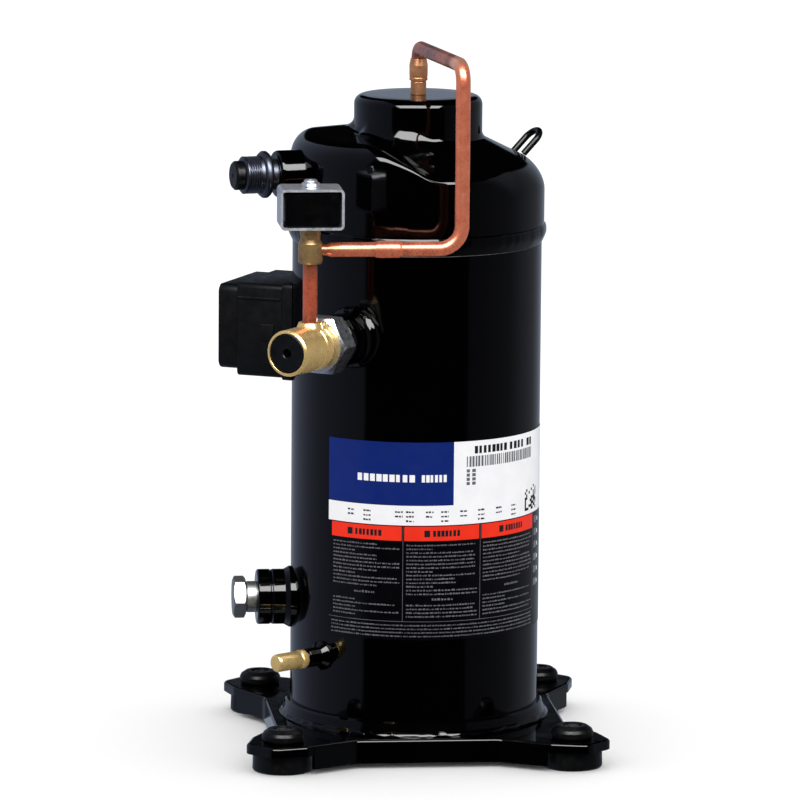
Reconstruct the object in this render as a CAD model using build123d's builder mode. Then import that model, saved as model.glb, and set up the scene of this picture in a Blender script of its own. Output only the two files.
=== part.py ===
"""Hermetic scroll compressor whose capacity is controlled by lifting the fixed scroll.

The frame: +Z is up along the shell's axis, the origin is on that axis in the plane that the rubber
feet stand on, and X and Y run along the sides of the square of mounting holes. Sizes are in mm and
angles are in degrees about +Z from +X. A turned piece's outline is a list of (along, radius) points.
"""

import os
from math import cos, radians, sin

from build123d import *

os.makedirs("parts", exist_ok=True)

# ---------------------------------------------------------------- driving dimensions
FIT = 0.05  # radial gap of a running or located fit
CLEAR = 0.3  # gap between faces that must not touch
SEAT = 0.1  # gap under a piece that rests on another

HOLE_PITCH = 190.5  # side of the square of mounting holes
BOLT_R, SLEEVE_R = 4.25, 6.0
PLATE_TOP, PLATE_THICK = 19.0, 3.0
PLATE_BOTTOM = PLATE_TOP - PLATE_THICK
FOOT_R, FOOT_CAP_R, FOOT_TOP = 20.0, 13.8, 27.5

SHELL_R, WALL = 82.5, 3.0
SHELL_IN = SHELL_R - WALL
SHELL_BOTTOM, SHELL_TOP = 14.0, 335.9
CAP_R, CAP_WALL, CAP_BOTTOM = 84.0, 3.4, 341.2
TURRET_R, TURRET_TOP = 42.4, 433.0
SHOULDER_TOP = 411.7
RAMP_ANGLE, RAMP_START, RAMP_END, RAMP_DROP = 186.0, 45.5, -8.0, 33.2  # slope beside the shoulder
TURRET_ROUND, SHOULDER_ROUND = 6.0, 14.0  # rounded edges of the cap

SUCTION_ANGLE, SUCTION_Z = 234.0, 281.5
DISCHARGE_ANGLE, DISCHARGE_Z = 194.0, 383.5
SIGHT_ANGLE, SIGHT_Z = 180.0, 97.0
OIL_VALVE_ANGLE, OIL_VALVE_Z = 217.0, 66.5
BOX_ANGLE, BOX_Z = 153.0, 274.0
EYE_ANGLE = 18.5
PORT_HOLE_R, OIL_HOLE_R, TERMINAL_R = 12.0, 4.0, 16.0

TUBE_R, TUBE_WALL = 4.76, 0.8  # 3/8 inch copper tube
SOCKET_R = TUBE_R + FIT  # bore that takes that tube
VALVE_REACH, VALVE_PORT_Z = 137.0, 345.5

ORBIT = 4.0  # throw of the crank
WRAP_PITCH, WRAP_THICK = 16.0, 3.7  # leaves CLEAR between the flanks all the way round
WRAP_START_R, WRAP_ARCS = 9.0, 6
SCROLL_FLOOR, SCROLL_CEILING = 308.0, 336.3
MOTOR_BOTTOM, MOTOR_TOP = 112.0, 200.0
JOURNAL_R, PIN_R, SHAFT_R, TAIL_R = 14.0, 9.0, 12.0, 11.0


# ---------------------------------------------------------------- helpers
def outward(angle):
    return Vector(cos(radians(angle)), sin(radians(angle)), 0)


def radial_plane(angle, height):
    """X runs outward from the shell's axis at that angle and Y is up."""
    return Plane(origin=(0, 0, height), x_dir=outward(angle), z_dir=outward(angle - 90))


def across_plane(angle, height, reach):
    """Faces outward at that angle, X level and Y up, at that distance from the shell's axis."""
    origin = outward(angle) * reach + Vector(0, 0, height)
    return Plane(origin=origin, x_dir=outward(angle + 90), z_dir=outward(angle))


def turned(outline, plane):
    """Solid of revolution about the plane's X axis, from (along, radius) points."""
    with BuildPart() as lathe:
        with BuildSketch(plane):
            with BuildLine():
                Polyline(*outline, close=True)
            make_face()
        revolve(axis=Axis(plane.origin, plane.x_dir))
    return lathe.part


def upright(outline, x=0.0, y=0.0):
    """Solid of revolution about a vertical line, from (radius, height) points."""
    plane = Plane(origin=(x, y, 0), x_dir=(1, 0, 0), z_dir=(0, -1, 0))
    with BuildPart() as lathe:
        with BuildSketch(plane):
            with BuildLine():
                Polyline(*outline, close=True)
            make_face()
        revolve(axis=Axis((x, y, 0), (0, 0, 1)))
    return lathe.part


def washer(inner, outer, low, high, x=0.0, y=0.0):
    return upright([(inner, low), (outer, low), (outer, high), (inner, high)], x, y)


def column(radius, low, high, x=0.0, y=0.0):
    """Plain upright cylinder."""
    return upright([(0, low), (radius, low), (radius, high), (0, high)], x, y)


def hexagon(plane, across_flats, bore, length, turn=0.0):
    """Hexagonal nut blank standing on the plane, its corners turned down by a chamfer."""
    with BuildPart() as blank:
        with BuildSketch(plane):
            RegularPolygon(radius=across_flats / 2, side_count=6, major_radius=False, rotation=turn)
            Circle(bore, mode=Mode.SUBTRACT)
        extrude(amount=length)
        with BuildSketch(plane):
            Circle(across_flats / 2 * 1.12)
        extrude(amount=length, mode=Mode.INTERSECT)
    return blank.part


def tube(route, bends, outer=TUBE_R, wall=TUBE_WALL):
    """Round tube along straight runs joined by arcs, one bend radius for each corner."""
    with BuildPart() as pipe:
        with BuildLine() as path:
            FilletPolyline(*route, radius=bends)
        with BuildSketch(Plane(origin=path.line @ 0, z_dir=path.line % 0)):
            Circle(outer)
            Circle(outer - wall, mode=Mode.SUBTRACT)
        sweep(path=path.line)
    return pipe.part


def saddle(radius, angle, height, spigot):
    """What a fitting loses to the round wall that it sits on: all but its spigot."""
    with BuildPart() as cutter:
        with BuildSketch(Plane.XY.offset(height - 40)):
            Circle(radius + FIT)
        extrude(amount=80)
        with BuildSketch(across_plane(angle, height, 0)):
            Circle(spigot)
        extrude(amount=radius + 10, mode=Mode.SUBTRACT)
    return cutter.part


def keep(part, label):
    """Labels a finished piece and writes its STEP file."""
    part.label = label
    export_step(part, f"parts/{label}.step")


# ---------------------------------------------------------------- base plate and feet
SIDE_HALF, SIDE_OUT = 46.5, 96.5  # straight middle of each side of the plate
SLOPE_X, SLOPE_Y = 80.0, 114.5  # end of the sloping edge beside it
LOBE_TIP, LOBE_CUT = 120.5, 103.0
FLANGE_LOW = 3.5
LIP_LOW, LIP_THICK, LIP_START = 12.6, 2.2, 72.0  # lip turned down round each corner lobe
COLLAR_TOP, COLLAR_FOOT_R = 28.0, 90.0
GROMMET_HOLE_R = 11.2

plate_corners = []
for quarter in range(4):
    for x, y in [
        (-SLOPE_X, -SLOPE_Y),
        (-SIDE_HALF, -SIDE_OUT),
        (SIDE_HALF, -SIDE_OUT),
        (SLOPE_X, -SLOPE_Y),
        (LOBE_CUT, -LOBE_TIP),
        (LOBE_TIP, -LOBE_CUT),
    ]:
        plate_corners.append(Vector(x, y).rotate(Axis.Z, quarter * 90))

with BuildPart() as base_plate:
    with BuildSketch(Plane.XY.offset(PLATE_BOTTOM)) as plate_face:
        with BuildLine():
            Polyline(*plate_corners, close=True)
        make_face()
        fillet(vertices(), radius=9)
    extrude(amount=PLATE_THICK)
    fillet(faces().sort_by(Axis.Z)[-1].edges(), radius=2)
    with BuildSketch(Plane.XY.offset(LIP_LOW)):
        add(plate_face.sketch_local)
        offset(plate_face.sketch_local, amount=-LIP_THICK, mode=Mode.SUBTRACT)
        Rectangle(2 * LIP_START, 3 * LOBE_TIP, mode=Mode.SUBTRACT)
        Rectangle(3 * LOBE_TIP, 2 * LIP_START, mode=Mode.SUBTRACT)
    extrude(amount=PLATE_BOTTOM - LIP_LOW + PLATE_THICK / 2)
    for quarter in range(4):
        with BuildSketch(Plane.XY.rotated((0, 0, quarter * 90)).offset(FLANGE_LOW)):
            with BuildLine() as flange:
                FilletPolyline(
                    (-SLOPE_X + 4, -SLOPE_Y + 1.5),
                    (-SIDE_HALF, -SIDE_OUT),
                    (SIDE_HALF, -SIDE_OUT),
                    (SLOPE_X - 4, -SLOPE_Y + 1.5),
                    radius=10,
                )
                offset(amount=PLATE_THICK, side=Side.LEFT)
            make_face()
        extrude(amount=PLATE_BOTTOM - FLANGE_LOW + PLATE_THICK / 2)
    add(
        upright(
            [
                (SHELL_R - WALL, PLATE_BOTTOM),
                (COLLAR_FOOT_R, PLATE_BOTTOM),
                (COLLAR_FOOT_R, PLATE_TOP),
                (COLLAR_FOOT_R - 2, PLATE_TOP + 1.5),
                (SHELL_R + 3.4, COLLAR_TOP - 1.2),
                (SHELL_R + 2.2, COLLAR_TOP),
                (SHELL_R - WALL, COLLAR_TOP),
            ]
        )
    )
    with BuildSketch(Plane.XY):
        Circle(SHELL_R + FIT)
        with GridLocations(HOLE_PITCH, HOLE_PITCH, 2, 2):
            Circle(GROMMET_HOLE_R)
    extrude(amount=COLLAR_TOP + 1, mode=Mode.SUBTRACT)
keep(base_plate.part, "base_plate")

grommet_outline = [
    (SLEEVE_R + FIT, 0),
    (FOOT_R - 1.0, 0),
    (FOOT_R, 1.2),
    (FOOT_R - 0.4, PLATE_BOTTOM - 1.8),
    (FOOT_R - 1.8, PLATE_BOTTOM - SEAT),
    (GROMMET_HOLE_R - CLEAR, PLATE_BOTTOM - SEAT),
    (GROMMET_HOLE_R - CLEAR, PLATE_TOP + SEAT),
    (FOOT_CAP_R - 1.0, PLATE_TOP + SEAT),
    (FOOT_CAP_R, PLATE_TOP + 1.6),
    (FOOT_CAP_R, PLATE_TOP + 4.4),
    (FOOT_CAP_R - 1.0, PLATE_TOP + 6.4),
    (FOOT_CAP_R - 4.0, FOOT_TOP),
    (SLEEVE_R + FIT, FOOT_TOP),
]
with BuildPart() as mounting_grommets:
    with GridLocations(HOLE_PITCH, HOLE_PITCH, 2, 2):
        add(upright(grommet_outline))
keep(mounting_grommets.part, "mounting_grommets")

with BuildPart() as grommet_sleeves:
    with BuildSketch(Plane.XY):
        with GridLocations(HOLE_PITCH, HOLE_PITCH, 2, 2):
            Circle(SLEEVE_R)
            Circle(BOLT_R, mode=Mode.SUBTRACT)
    extrude(amount=FOOT_TOP - 1.0)
keep(grommet_sleeves.part, "grommet_sleeves")

# ---------------------------------------------------------------- pressure shell
with BuildPart() as shell_body:
    add(washer(SHELL_IN, SHELL_R, SHELL_BOTTOM, SHELL_TOP))
    for angle, height, hole in [
        (SUCTION_ANGLE, SUCTION_Z, PORT_HOLE_R),
        (SIGHT_ANGLE, SIGHT_Z, PORT_HOLE_R),
        (OIL_VALVE_ANGLE, OIL_VALVE_Z, OIL_HOLE_R),
        (BOX_ANGLE, BOX_Z, TERMINAL_R),
    ]:
        with BuildSketch(across_plane(angle, height, SHELL_IN - 10)):
            Circle(hole)
        extrude(amount=20, mode=Mode.SUBTRACT)
keep(shell_body.part, "shell_body")

SUMP_R = SHELL_IN - FIT
with BuildPart() as bottom_cap:
    with BuildSketch(Plane.XZ):
        with BuildLine():
            TangentArc((0, 4.5), (SUMP_R, 14), tangent=(1, 0))
            Polyline((SUMP_R, 14), (SUMP_R, 27), (SUMP_R - WALL, 27), (SUMP_R - WALL, 16))
            Line((0, 7.5), (0, 4.5))
            TangentArc((0, 7.5), (SUMP_R - WALL, 16), tangent=(1, 0))
        make_face()
    revolve(axis=Axis.Z)
keep(bottom_cap.part, "bottom_cap")


def cap_solid(inset, bottom):
    """Top cap's envelope: a low dome and turret, and a shoulder raised on the discharge side."""
    rim, turret = CAP_R - inset, TURRET_R - inset
    top, level = TURRET_TOP - inset, SHOULDER_TOP - inset
    with BuildPart() as body:
        with BuildSketch(Plane.XZ):
            with BuildLine():
                Polyline((0, top), (0, bottom), (rim, bottom), (rim, 373 - inset))
                TangentArc((rim, 373 - inset), (rim - 9, 390 - inset), tangent=(0, 1))
                Line((rim - 9, 390 - inset), (turret + 5, 403.5 - inset))
                ThreePointArc(
                    (turret + 5, 403.5 - inset),
                    (turret + 1.3, 406 - inset),
                    (turret, 410 - inset),
                )
                Line((turret, 410 - inset), (turret, top - TURRET_ROUND))
                RadiusArc((turret, top - TURRET_ROUND), (turret - TURRET_ROUND, top), -TURRET_ROUND)
                Line((turret - TURRET_ROUND, top), (0, top))
            make_face()
        revolve(axis=Axis.Z)
    with BuildPart() as shoulder:
        with BuildSketch(Plane.XZ):
            with BuildLine():
                Polyline((0, level), (0, bottom), (rim, bottom), (rim, level - SHOULDER_ROUND))
                RadiusArc((rim, level - SHOULDER_ROUND), (rim - SHOULDER_ROUND, level), -SHOULDER_ROUND)
                Line((rim - SHOULDER_ROUND, level), (0, level))
            make_face()
        revolve(axis=Axis.Z)
        with BuildSketch(radial_plane(RAMP_ANGLE, 0)):
            with BuildLine():
                Polyline(
                    (RAMP_END, bottom),
                    (100, bottom),
                    (100, level),
                    (RAMP_START, level),
                    (RAMP_END, level - RAMP_DROP),
                    close=True,
                )
            make_face()
        extrude(amount=100, both=True, mode=Mode.INTERSECT)
    return body.part + shoulder.part


FITTING_BORE_R = 4.0
with BuildPart() as top_cap:
    add(cap_solid(0, CAP_BOTTOM))
    add(cap_solid(CAP_WALL, CAP_BOTTOM - 1), mode=Mode.SUBTRACT)
    with BuildSketch(across_plane(DISCHARGE_ANGLE, DISCHARGE_Z, CAP_R - 15)):
        Circle(PORT_HOLE_R)
    extrude(amount=30, mode=Mode.SUBTRACT)
    add(column(FITTING_BORE_R, TURRET_TOP - 10, TURRET_TOP + 1), mode=Mode.SUBTRACT)
keep(top_cap.part, "top_cap")

BEAD_R = 85.8
weld_outline = [
    (CAP_R - 1.4, 336.4),
    (CAP_R - 0.2, 338.8),
    (BEAD_R - 0.5, 341.6),
    (BEAD_R, 344.2),
    (BEAD_R - 0.5, 346.8),
    (CAP_R + FIT, 349.0),
    (CAP_R + FIT, 341.0),
    (CAP_R - 1.4, 341.0),
]
keep(upright(weld_outline), "seam_weld")

RIM_R = CAP_R - 1.5
partition_outline = [
    (20, 360),
    (24, 360),
    (24, 357),
    (50, 357),
    (65, 352),
    (75, 342.5),
    (SHELL_IN, 341),
    (RIM_R, 341),
    (RIM_R, SHELL_TOP + SEAT),
    (SHELL_IN - 0.5, SHELL_TOP + SEAT),
    (62, 347.5),
    (48, 352.5),
    (20, 352.5),
]
keep(upright(partition_outline), "partition_plate")

# ---------------------------------------------------------------- discharge fitting
discharge = radial_plane(DISCHARGE_ANGLE, DISCHARGE_Z)
SPIGOT_R = PORT_HOLE_R - FIT
DISCHARGE_THREAD_R, DISCHARGE_THREAD_START, DISCHARGE_THREAD_END = 12.4, 111.5, 121.5
with BuildPart() as discharge_stub:
    add(
        turned(
            [
                (74, 7.2),
                (74, SPIGOT_R),
                (CAP_R - 0.4, SPIGOT_R),
                (CAP_R - 6, 15.5),
                (98.5, 15.5),
                (99.5, 14.5),
                (99.5, 10),
                (104, 10),
                (104.6, 14.4),
                (106, 15.5),
                (108, 15.5),
                (109.6, 14.2),
                (110, 12.7),
                (DISCHARGE_THREAD_START, DISCHARGE_THREAD_R),
                (DISCHARGE_THREAD_END, DISCHARGE_THREAD_R),
                (122.4, 11.5),
                (122.4, 9.1),
                (112, 9.1),
                (112, 7.2),
            ],
            discharge,
        )
    )
    add(saddle(CAP_R, DISCHARGE_ANGLE, DISCHARGE_Z, SPIGOT_R), mode=Mode.SUBTRACT)
keep(discharge_stub.part, "discharge_stub")

PLUG_FACE = 128.6
discharge_plug_outline = [
    (112.2, 0),
    (112.2, 8.4),
    (113, 9.1 - FIT),
    (122.5, 9.1 - FIT),
    (122.5, 9.6),
    (PLUG_FACE - 1.4, 9.6),
    (PLUG_FACE - 0.4, 8.8),
    (PLUG_FACE, 7.6),
    (PLUG_FACE, 0),
]
keep(turned(discharge_plug_outline, discharge), "discharge_plug")

# ---------------------------------------------------------------- suction fitting
suction = radial_plane(SUCTION_ANGLE, SUCTION_Z)
NUT_START, NUT_END = 112.0, 127.0
THREAD_R, NECK_R, ADAPTER_R, ADAPTER_BORE = 15.0, 12.6, 15.0, 9.0
ADAPTER_END, PLUG_BORE_R, PLUG_BORE_START = 166.0, 12.9, 143.0
BOSS_TOP = 298.5

with BuildPart() as suction_stub:
    add(
        turned(
            [
                (74, ADAPTER_BORE),
                (74, SPIGOT_R),
                (SHELL_R - 0.4, SPIGOT_R),
                (78, 20.8),
                (84.5, 20.8),
                (87, 18.2),
                (88, 17.0),
                (89, 16.2),
                (98, 16.2),
                (98, 17.6),
                (110.4, 17.6),
                (111.4, 16.6),
                (111.4, THREAD_R - FIT),
                (117.8, THREAD_R - FIT),
                (117.8, ADAPTER_BORE),
            ],
            suction,
        )
    )
    add(saddle(SHELL_R, SUCTION_ANGLE, SUCTION_Z, SPIGOT_R), mode=Mode.SUBTRACT)
keep(suction_stub.part, "suction_stub")

with BuildPart() as suction_nut:
    add(hexagon(across_plane(SUCTION_ANGLE, SUCTION_Z, NUT_START), 36, NECK_R + FIT, NUT_END - NUT_START))
    with BuildSketch(across_plane(SUCTION_ANGLE, SUCTION_Z, NUT_START)):
        Circle(THREAD_R)
    extrude(amount=NUT_END - NUT_START - 4, mode=Mode.SUBTRACT)
keep(suction_nut.part, "suction_nut")

with BuildPart() as suction_adapter:
    add(
        turned(
            [
                (118, ADAPTER_BORE),
                (118, THREAD_R - CLEAR),
                (122.7, THREAD_R - CLEAR),
                (122.7, NECK_R),
                (NUT_END + 1.5, NECK_R),
                (NUT_END + 1.5, 13.6),
                (NUT_END + 4.5, 13.6),
                (NUT_END + 5.5, ADAPTER_R),
                (ADAPTER_END - 1.2, ADAPTER_R),
                (ADAPTER_END, ADAPTER_R - 1.2),
                (ADAPTER_END, PLUG_BORE_R),
                (PLUG_BORE_START, PLUG_BORE_R),
                (PLUG_BORE_START, ADAPTER_BORE),
            ],
            suction,
        )
    )
    boss_x, boss_y = VALVE_REACH * cos(radians(SUCTION_ANGLE)), VALVE_REACH * sin(radians(SUCTION_ANGLE))
    add(upright([(0, SUCTION_Z + 10), (9, SUCTION_Z + 10), (7.2, BOSS_TOP), (0, BOSS_TOP)], boss_x, boss_y))
    add(column(SOCKET_R, SUCTION_Z, BOSS_TOP + 1, boss_x, boss_y), mode=Mode.SUBTRACT)
keep(suction_adapter.part, "suction_adapter")

suction_plug_outline = [
    (PLUG_BORE_START + 3, 0),
    (PLUG_BORE_START + 3, PLUG_BORE_R - 1.5),
    (PLUG_BORE_START + 6, PLUG_BORE_R - FIT),
    (ADAPTER_END - 0.8, PLUG_BORE_R - FIT),
    (ADAPTER_END - 0.2, PLUG_BORE_R - 0.8),
    (ADAPTER_END - 0.2, 2.75),
    (ADAPTER_END - 9, 2.75),
    (ADAPTER_END - 9, 0),
]
keep(turned(suction_plug_outline, suction), "suction_plug")

# ---------------------------------------------------------------- oil fittings
sight = radial_plane(SIGHT_ANGLE, SIGHT_Z)
SIGHT_END, SIGHT_BORE = 105.7, 9.9
with BuildPart() as sight_stub:
    add(
        turned(
            [
                (74, SIGHT_BORE),
                (74, SPIGOT_R),
                (SHELL_R - 0.4, SPIGOT_R),
                (78, 20.4),
                (84, 20.4),
                (87.5, 18.4),
                (95.4, 18.4),
                (95.8, 18.0),
                (96.6, 18.0),
                (97, 18.4),
                (SIGHT_END - 0.8, 18.4),
                (SIGHT_END, 17.6),
                (SIGHT_END, SIGHT_BORE),
            ],
            sight,
        )
    )
    add(saddle(SHELL_R, SIGHT_ANGLE, SIGHT_Z, SPIGOT_R), mode=Mode.SUBTRACT)
keep(sight_stub.part, "sight_stub")

SIGHT_HEX_START, SIGHT_HEX_END = 113.0, 121.5
with BuildPart() as sight_plug:
    shank = [(84, 0), (84, 8.6), (85, SIGHT_BORE - FIT), (SIGHT_END + 0.2, SIGHT_BORE - FIT)]
    neck = [(SIGHT_END + 0.2, 10.4), (SIGHT_HEX_START, 10.4), (SIGHT_HEX_START, 0)]
    add(turned(shank + neck, sight))
    head = across_plane(SIGHT_ANGLE, SIGHT_Z, SIGHT_HEX_START)
    add(hexagon(head, 25.4, 0.5, SIGHT_HEX_END - SIGHT_HEX_START))
    with BuildSketch(head):
        Circle(2)
    extrude(amount=SIGHT_HEX_END - SIGHT_HEX_START)
keep(sight_plug.part, "sight_plug")

oil_port = radial_plane(OIL_VALVE_ANGLE, OIL_VALVE_Z)
CAP_START, CAP_END = 98.4, 124.0
with BuildPart() as oil_valve_body:
    add(
        turned(
            [
                (76, 1.6),
                (76, OIL_HOLE_R - FIT),
                (SHELL_R - 0.2, OIL_HOLE_R - FIT),
                (80, 9.6),
                (84, 9.6),
                (87.5, 6.4),
                (97, 6.4),
                (97, 4.5),
                (109, 4.5),
                (110, 3.8),
                (110, 2.75),
                (101, 2.75),
                (101, 1.6),
            ],
            oil_port,
        )
    )
    add(saddle(SHELL_R, OIL_VALVE_ANGLE, OIL_VALVE_Z, OIL_HOLE_R - FIT), mode=Mode.SUBTRACT)
keep(oil_valve_body.part, "oil_valve_body")
core_outline = [
    (102.6, 0),
    (102.6, 2.4),
    (103.2, 2.7),
    (107.0, 2.7),
    (107.0, 1.0),
    (110.4, 1.0),
    (110.4, 0),
]
keep(turned(core_outline, oil_port), "oil_valve_core")
oil_cap_outline = [
    (CAP_START, 4.55),
    (CAP_START, 5.4),
    (CAP_START + 1.2, 6.2),
    (CAP_START + 5, 6.2),
    (CAP_START + 6, 5.9),
    (CAP_END - 1.5, 5.9),
    (CAP_END, 4.6),
    (CAP_END, 0),
    (112, 0),
    (112, 4.55),
]
keep(turned(oil_cap_outline, oil_port), "oil_valve_cap")

# ---------------------------------------------------------------- terminal box
BOX_HALF, BOX_HIGH = 35.0, 31.2  # half width and half height of the body
FLANGE_REACH, COVER_REACH, BOX_END = 82.2, 114.4, 128.6
BOX_WALL, COVER_RISE = 2.5, 1.2
COVER_HALF, COVER_HIGH, COVER_LIP = 34.0, 28.4, 27.0


def box_slab(half, high, start, end, corner, rise=0.0):
    """Rounded block standing across the box's direction."""
    with BuildPart() as slab:
        with BuildSketch(across_plane(BOX_ANGLE, BOX_Z + rise, start)):
            RectangleRounded(2 * half, 2 * high, corner)
        extrude(amount=end - start)
    return slab.part


shell_trim = column(SHELL_R + CLEAR, BOX_Z - 60, BOX_Z + 60)
with BuildPart() as terminal_box_base:
    add(box_slab(BOX_HALF, BOX_HIGH, 70, COVER_REACH, 3.5))
    add(box_slab(BOX_HALF + 0.8, BOX_HIGH + 1.4, 70, FLANGE_REACH, 3.5))
    add(box_slab(1.2, 6, 74, 80, 0.6, -BOX_HIGH - 5))
    add(box_slab(BOX_HALF - BOX_WALL, BOX_HIGH - BOX_WALL, 87, BOX_END, 2), mode=Mode.SUBTRACT)
    add(shell_trim, mode=Mode.SUBTRACT)
    with BuildSketch(across_plane(BOX_ANGLE, BOX_Z, 60)):
        Circle(TERMINAL_R + 3)
    extrude(amount=30, mode=Mode.SUBTRACT)
keep(terminal_box_base.part, "terminal_box_base")

with BuildPart() as terminal_box_cover:
    add(box_slab(COVER_HALF, COVER_HIGH, COVER_REACH + SEAT, BOX_END, 5, COVER_RISE))
    add(box_slab(BOX_HALF - BOX_WALL - CLEAR, COVER_LIP, COVER_REACH - 6, COVER_REACH + 1, 2, COVER_RISE))
    add(
        box_slab(BOX_HALF - 2 * BOX_WALL, COVER_LIP - 2, COVER_REACH - 8, BOX_END - 2.5, 2, COVER_RISE),
        mode=Mode.SUBTRACT,
    )
keep(terminal_box_cover.part, "terminal_box_cover")

PIN_SPACING, TERMINAL_PIN_R = 7.0, 1.6
terminal = across_plane(BOX_ANGLE, BOX_Z, 77)
with BuildPart() as power_terminal:
    with BuildSketch(terminal):
        Circle(TERMINAL_R - FIT)
        with PolarLocations(PIN_SPACING, 3, start_angle=90):
            Circle(TERMINAL_PIN_R + FIT, mode=Mode.SUBTRACT)
    extrude(amount=6)
keep(power_terminal.part, "power_terminal")
PIN_INNER, PIN_OUTER = 72.6, 104.0
with BuildPart() as terminal_pins:
    with BuildSketch(across_plane(BOX_ANGLE, BOX_Z, PIN_INNER)):
        with PolarLocations(PIN_SPACING, 3, start_angle=90):
            Circle(TERMINAL_PIN_R)
    extrude(amount=PIN_OUTER - PIN_INNER)
keep(terminal_pins.part, "terminal_pins")

# ---------------------------------------------------------------- lifting eye
EYE_ROD_R, EYE_HALF = 2.2, 7.8
eye_foot, eye_lean = 73.5, 45.0
eye_side = outward(EYE_ANGLE + 90) * EYE_HALF
eye_up = outward(EYE_ANGLE) * cos(radians(eye_lean)) + Vector(0, 0, sin(radians(eye_lean)))
eye_base = outward(EYE_ANGLE) * eye_foot + Vector(0, 0, 391.2)
with BuildPart() as lifting_eye:
    with BuildLine() as eye_path:
        Line(eye_base - eye_side, eye_base - eye_side + eye_up * 12)
        ThreePointArc(
            eye_base - eye_side + eye_up * 12,
            eye_base + eye_up * (12 + EYE_HALF),
            eye_base + eye_side + eye_up * 12,
        )
        Line(eye_base + eye_side + eye_up * 12, eye_base + eye_side)
    with BuildSketch(Plane(origin=eye_path.line @ 0, z_dir=eye_path.line % 0)):
        Circle(EYE_ROD_R)
    sweep(path=eye_path.line)
    add(cap_solid(-FIT, CAP_BOTTOM), mode=Mode.SUBTRACT)
keep(lifting_eye.part, "lifting_eye")

# ---------------------------------------------------------------- vapour line and solenoid valve
valve_x, valve_y = boss_x, boss_y
TUBE_FRONT_X, TUBE_TOP_Z = 17.6, 464.0
TUBE_START_Z, FITTING_TOP = 446.0, 456.8
COUPLING_LOW, COUPLING_HIGH = -38.5, -21.5
coupling_middle = (COUPLING_LOW + COUPLING_HIGH) / 2

unloader_fitting_outline = [
    (3, TURRET_TOP - 8),
    (FITTING_BORE_R - FIT, TURRET_TOP - 8),
    (FITTING_BORE_R - FIT, TURRET_TOP + SEAT),
    (5.2, TURRET_TOP + SEAT),
    (5.2, 441.2),
    (5.0, 441.4),
    (5.0, 442.0),
    (6.0, 442.4),
    (6.1, 452.4),
    (5.3, FITTING_TOP),
    (SOCKET_R, FITTING_TOP),
    (SOCKET_R, TUBE_START_Z - SEAT),
    (3, TUBE_START_Z - SEAT),
]
keep(upright(unloader_fitting_outline), "unloader_fitting")

vapour_route = [
    (0, 0, TUBE_START_Z),
    (0, 0, TUBE_TOP_Z),
    (TUBE_FRONT_X, valve_y, TUBE_TOP_Z),
    (TUBE_FRONT_X, valve_y, VALVE_PORT_Z),
    (coupling_middle + SEAT, valve_y, VALVE_PORT_Z),
]
keep(tube(vapour_route, [7.0, 11.0, 15.0]), "vapour_tube")

along_x = Plane(origin=(0, valve_y, VALVE_PORT_Z), x_dir=(1, 0, 0), z_dir=(0, -1, 0))
coupling_outline = [
    (COUPLING_LOW, SOCKET_R),
    (COUPLING_LOW, 5.1),
    (COUPLING_LOW + 1.5, 5.6),
    (COUPLING_HIGH - 1.5, 5.6),
    (COUPLING_HIGH, 5.1),
    (COUPLING_HIGH, SOCKET_R),
]
keep(turned(coupling_outline, along_x), "tube_coupling")

VALVE_BODY_R, VALVE_NECK_R, NARROW_R = 7.9, 6.9, 3.8
inlet_outline = [
    (coupling_middle - SEAT, TUBE_R - TUBE_WALL),
    (coupling_middle - SEAT, TUBE_R),
    (valve_x + 13.5, TUBE_R),
    (valve_x + 10.5, NARROW_R),
    (valve_x + 5.2, NARROW_R),
    (valve_x + 5.2, NARROW_R - TUBE_WALL),
    (valve_x + 10.5, NARROW_R - TUBE_WALL),
    (valve_x + 13.5, TUBE_R - TUBE_WALL),
]
keep(turned(inlet_outline, along_x), "valve_inlet_tube")

VALVE_LOW, VALVE_SHOULDER, VALVE_HIGH = 336.6, 351.5, 359.6
OUTLET_STOP, SEAT_Z, CHAMBER_R = 340.0, 341.6, 3.9
with BuildPart() as valve_body:
    add(
        upright(
            [
                (SOCKET_R, VALVE_LOW),
                (VALVE_BODY_R - 0.8, VALVE_LOW),
                (VALVE_BODY_R, VALVE_LOW + 1.2),
                (VALVE_BODY_R, VALVE_SHOULDER - 1.6),
                (VALVE_BODY_R - 1.6, VALVE_SHOULDER),
                (VALVE_NECK_R, VALVE_SHOULDER + 0.6),
                (VALVE_NECK_R, VALVE_HIGH),
                (4.8, VALVE_HIGH),
                (4.8, VALVE_SHOULDER),
                (CHAMBER_R, VALVE_SHOULDER),
                (CHAMBER_R, SEAT_Z),
                (1.6, SEAT_Z),
                (1.6, OUTLET_STOP),
                (SOCKET_R, OUTLET_STOP),
            ],
            valve_x,
            valve_y,
        )
    )
    port_outline = [
        (valve_x, 0),
        (valve_x, NARROW_R + FIT),
        (valve_x + 20, NARROW_R + FIT),
        (valve_x + 20, 0),
    ]
    add(turned(port_outline, along_x), mode=Mode.SUBTRACT)
keep(valve_body.part, "valve_body")

outlet_outline = [
    (TUBE_R - TUBE_WALL, SUCTION_Z + 10),
    (TUBE_R, SUCTION_Z + 10),
    (TUBE_R, OUTLET_STOP - SEAT),
    (TUBE_R - TUBE_WALL, OUTLET_STOP - SEAT),
]
keep(upright(outlet_outline, valve_x, valve_y), "valve_outlet_tube")

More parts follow.
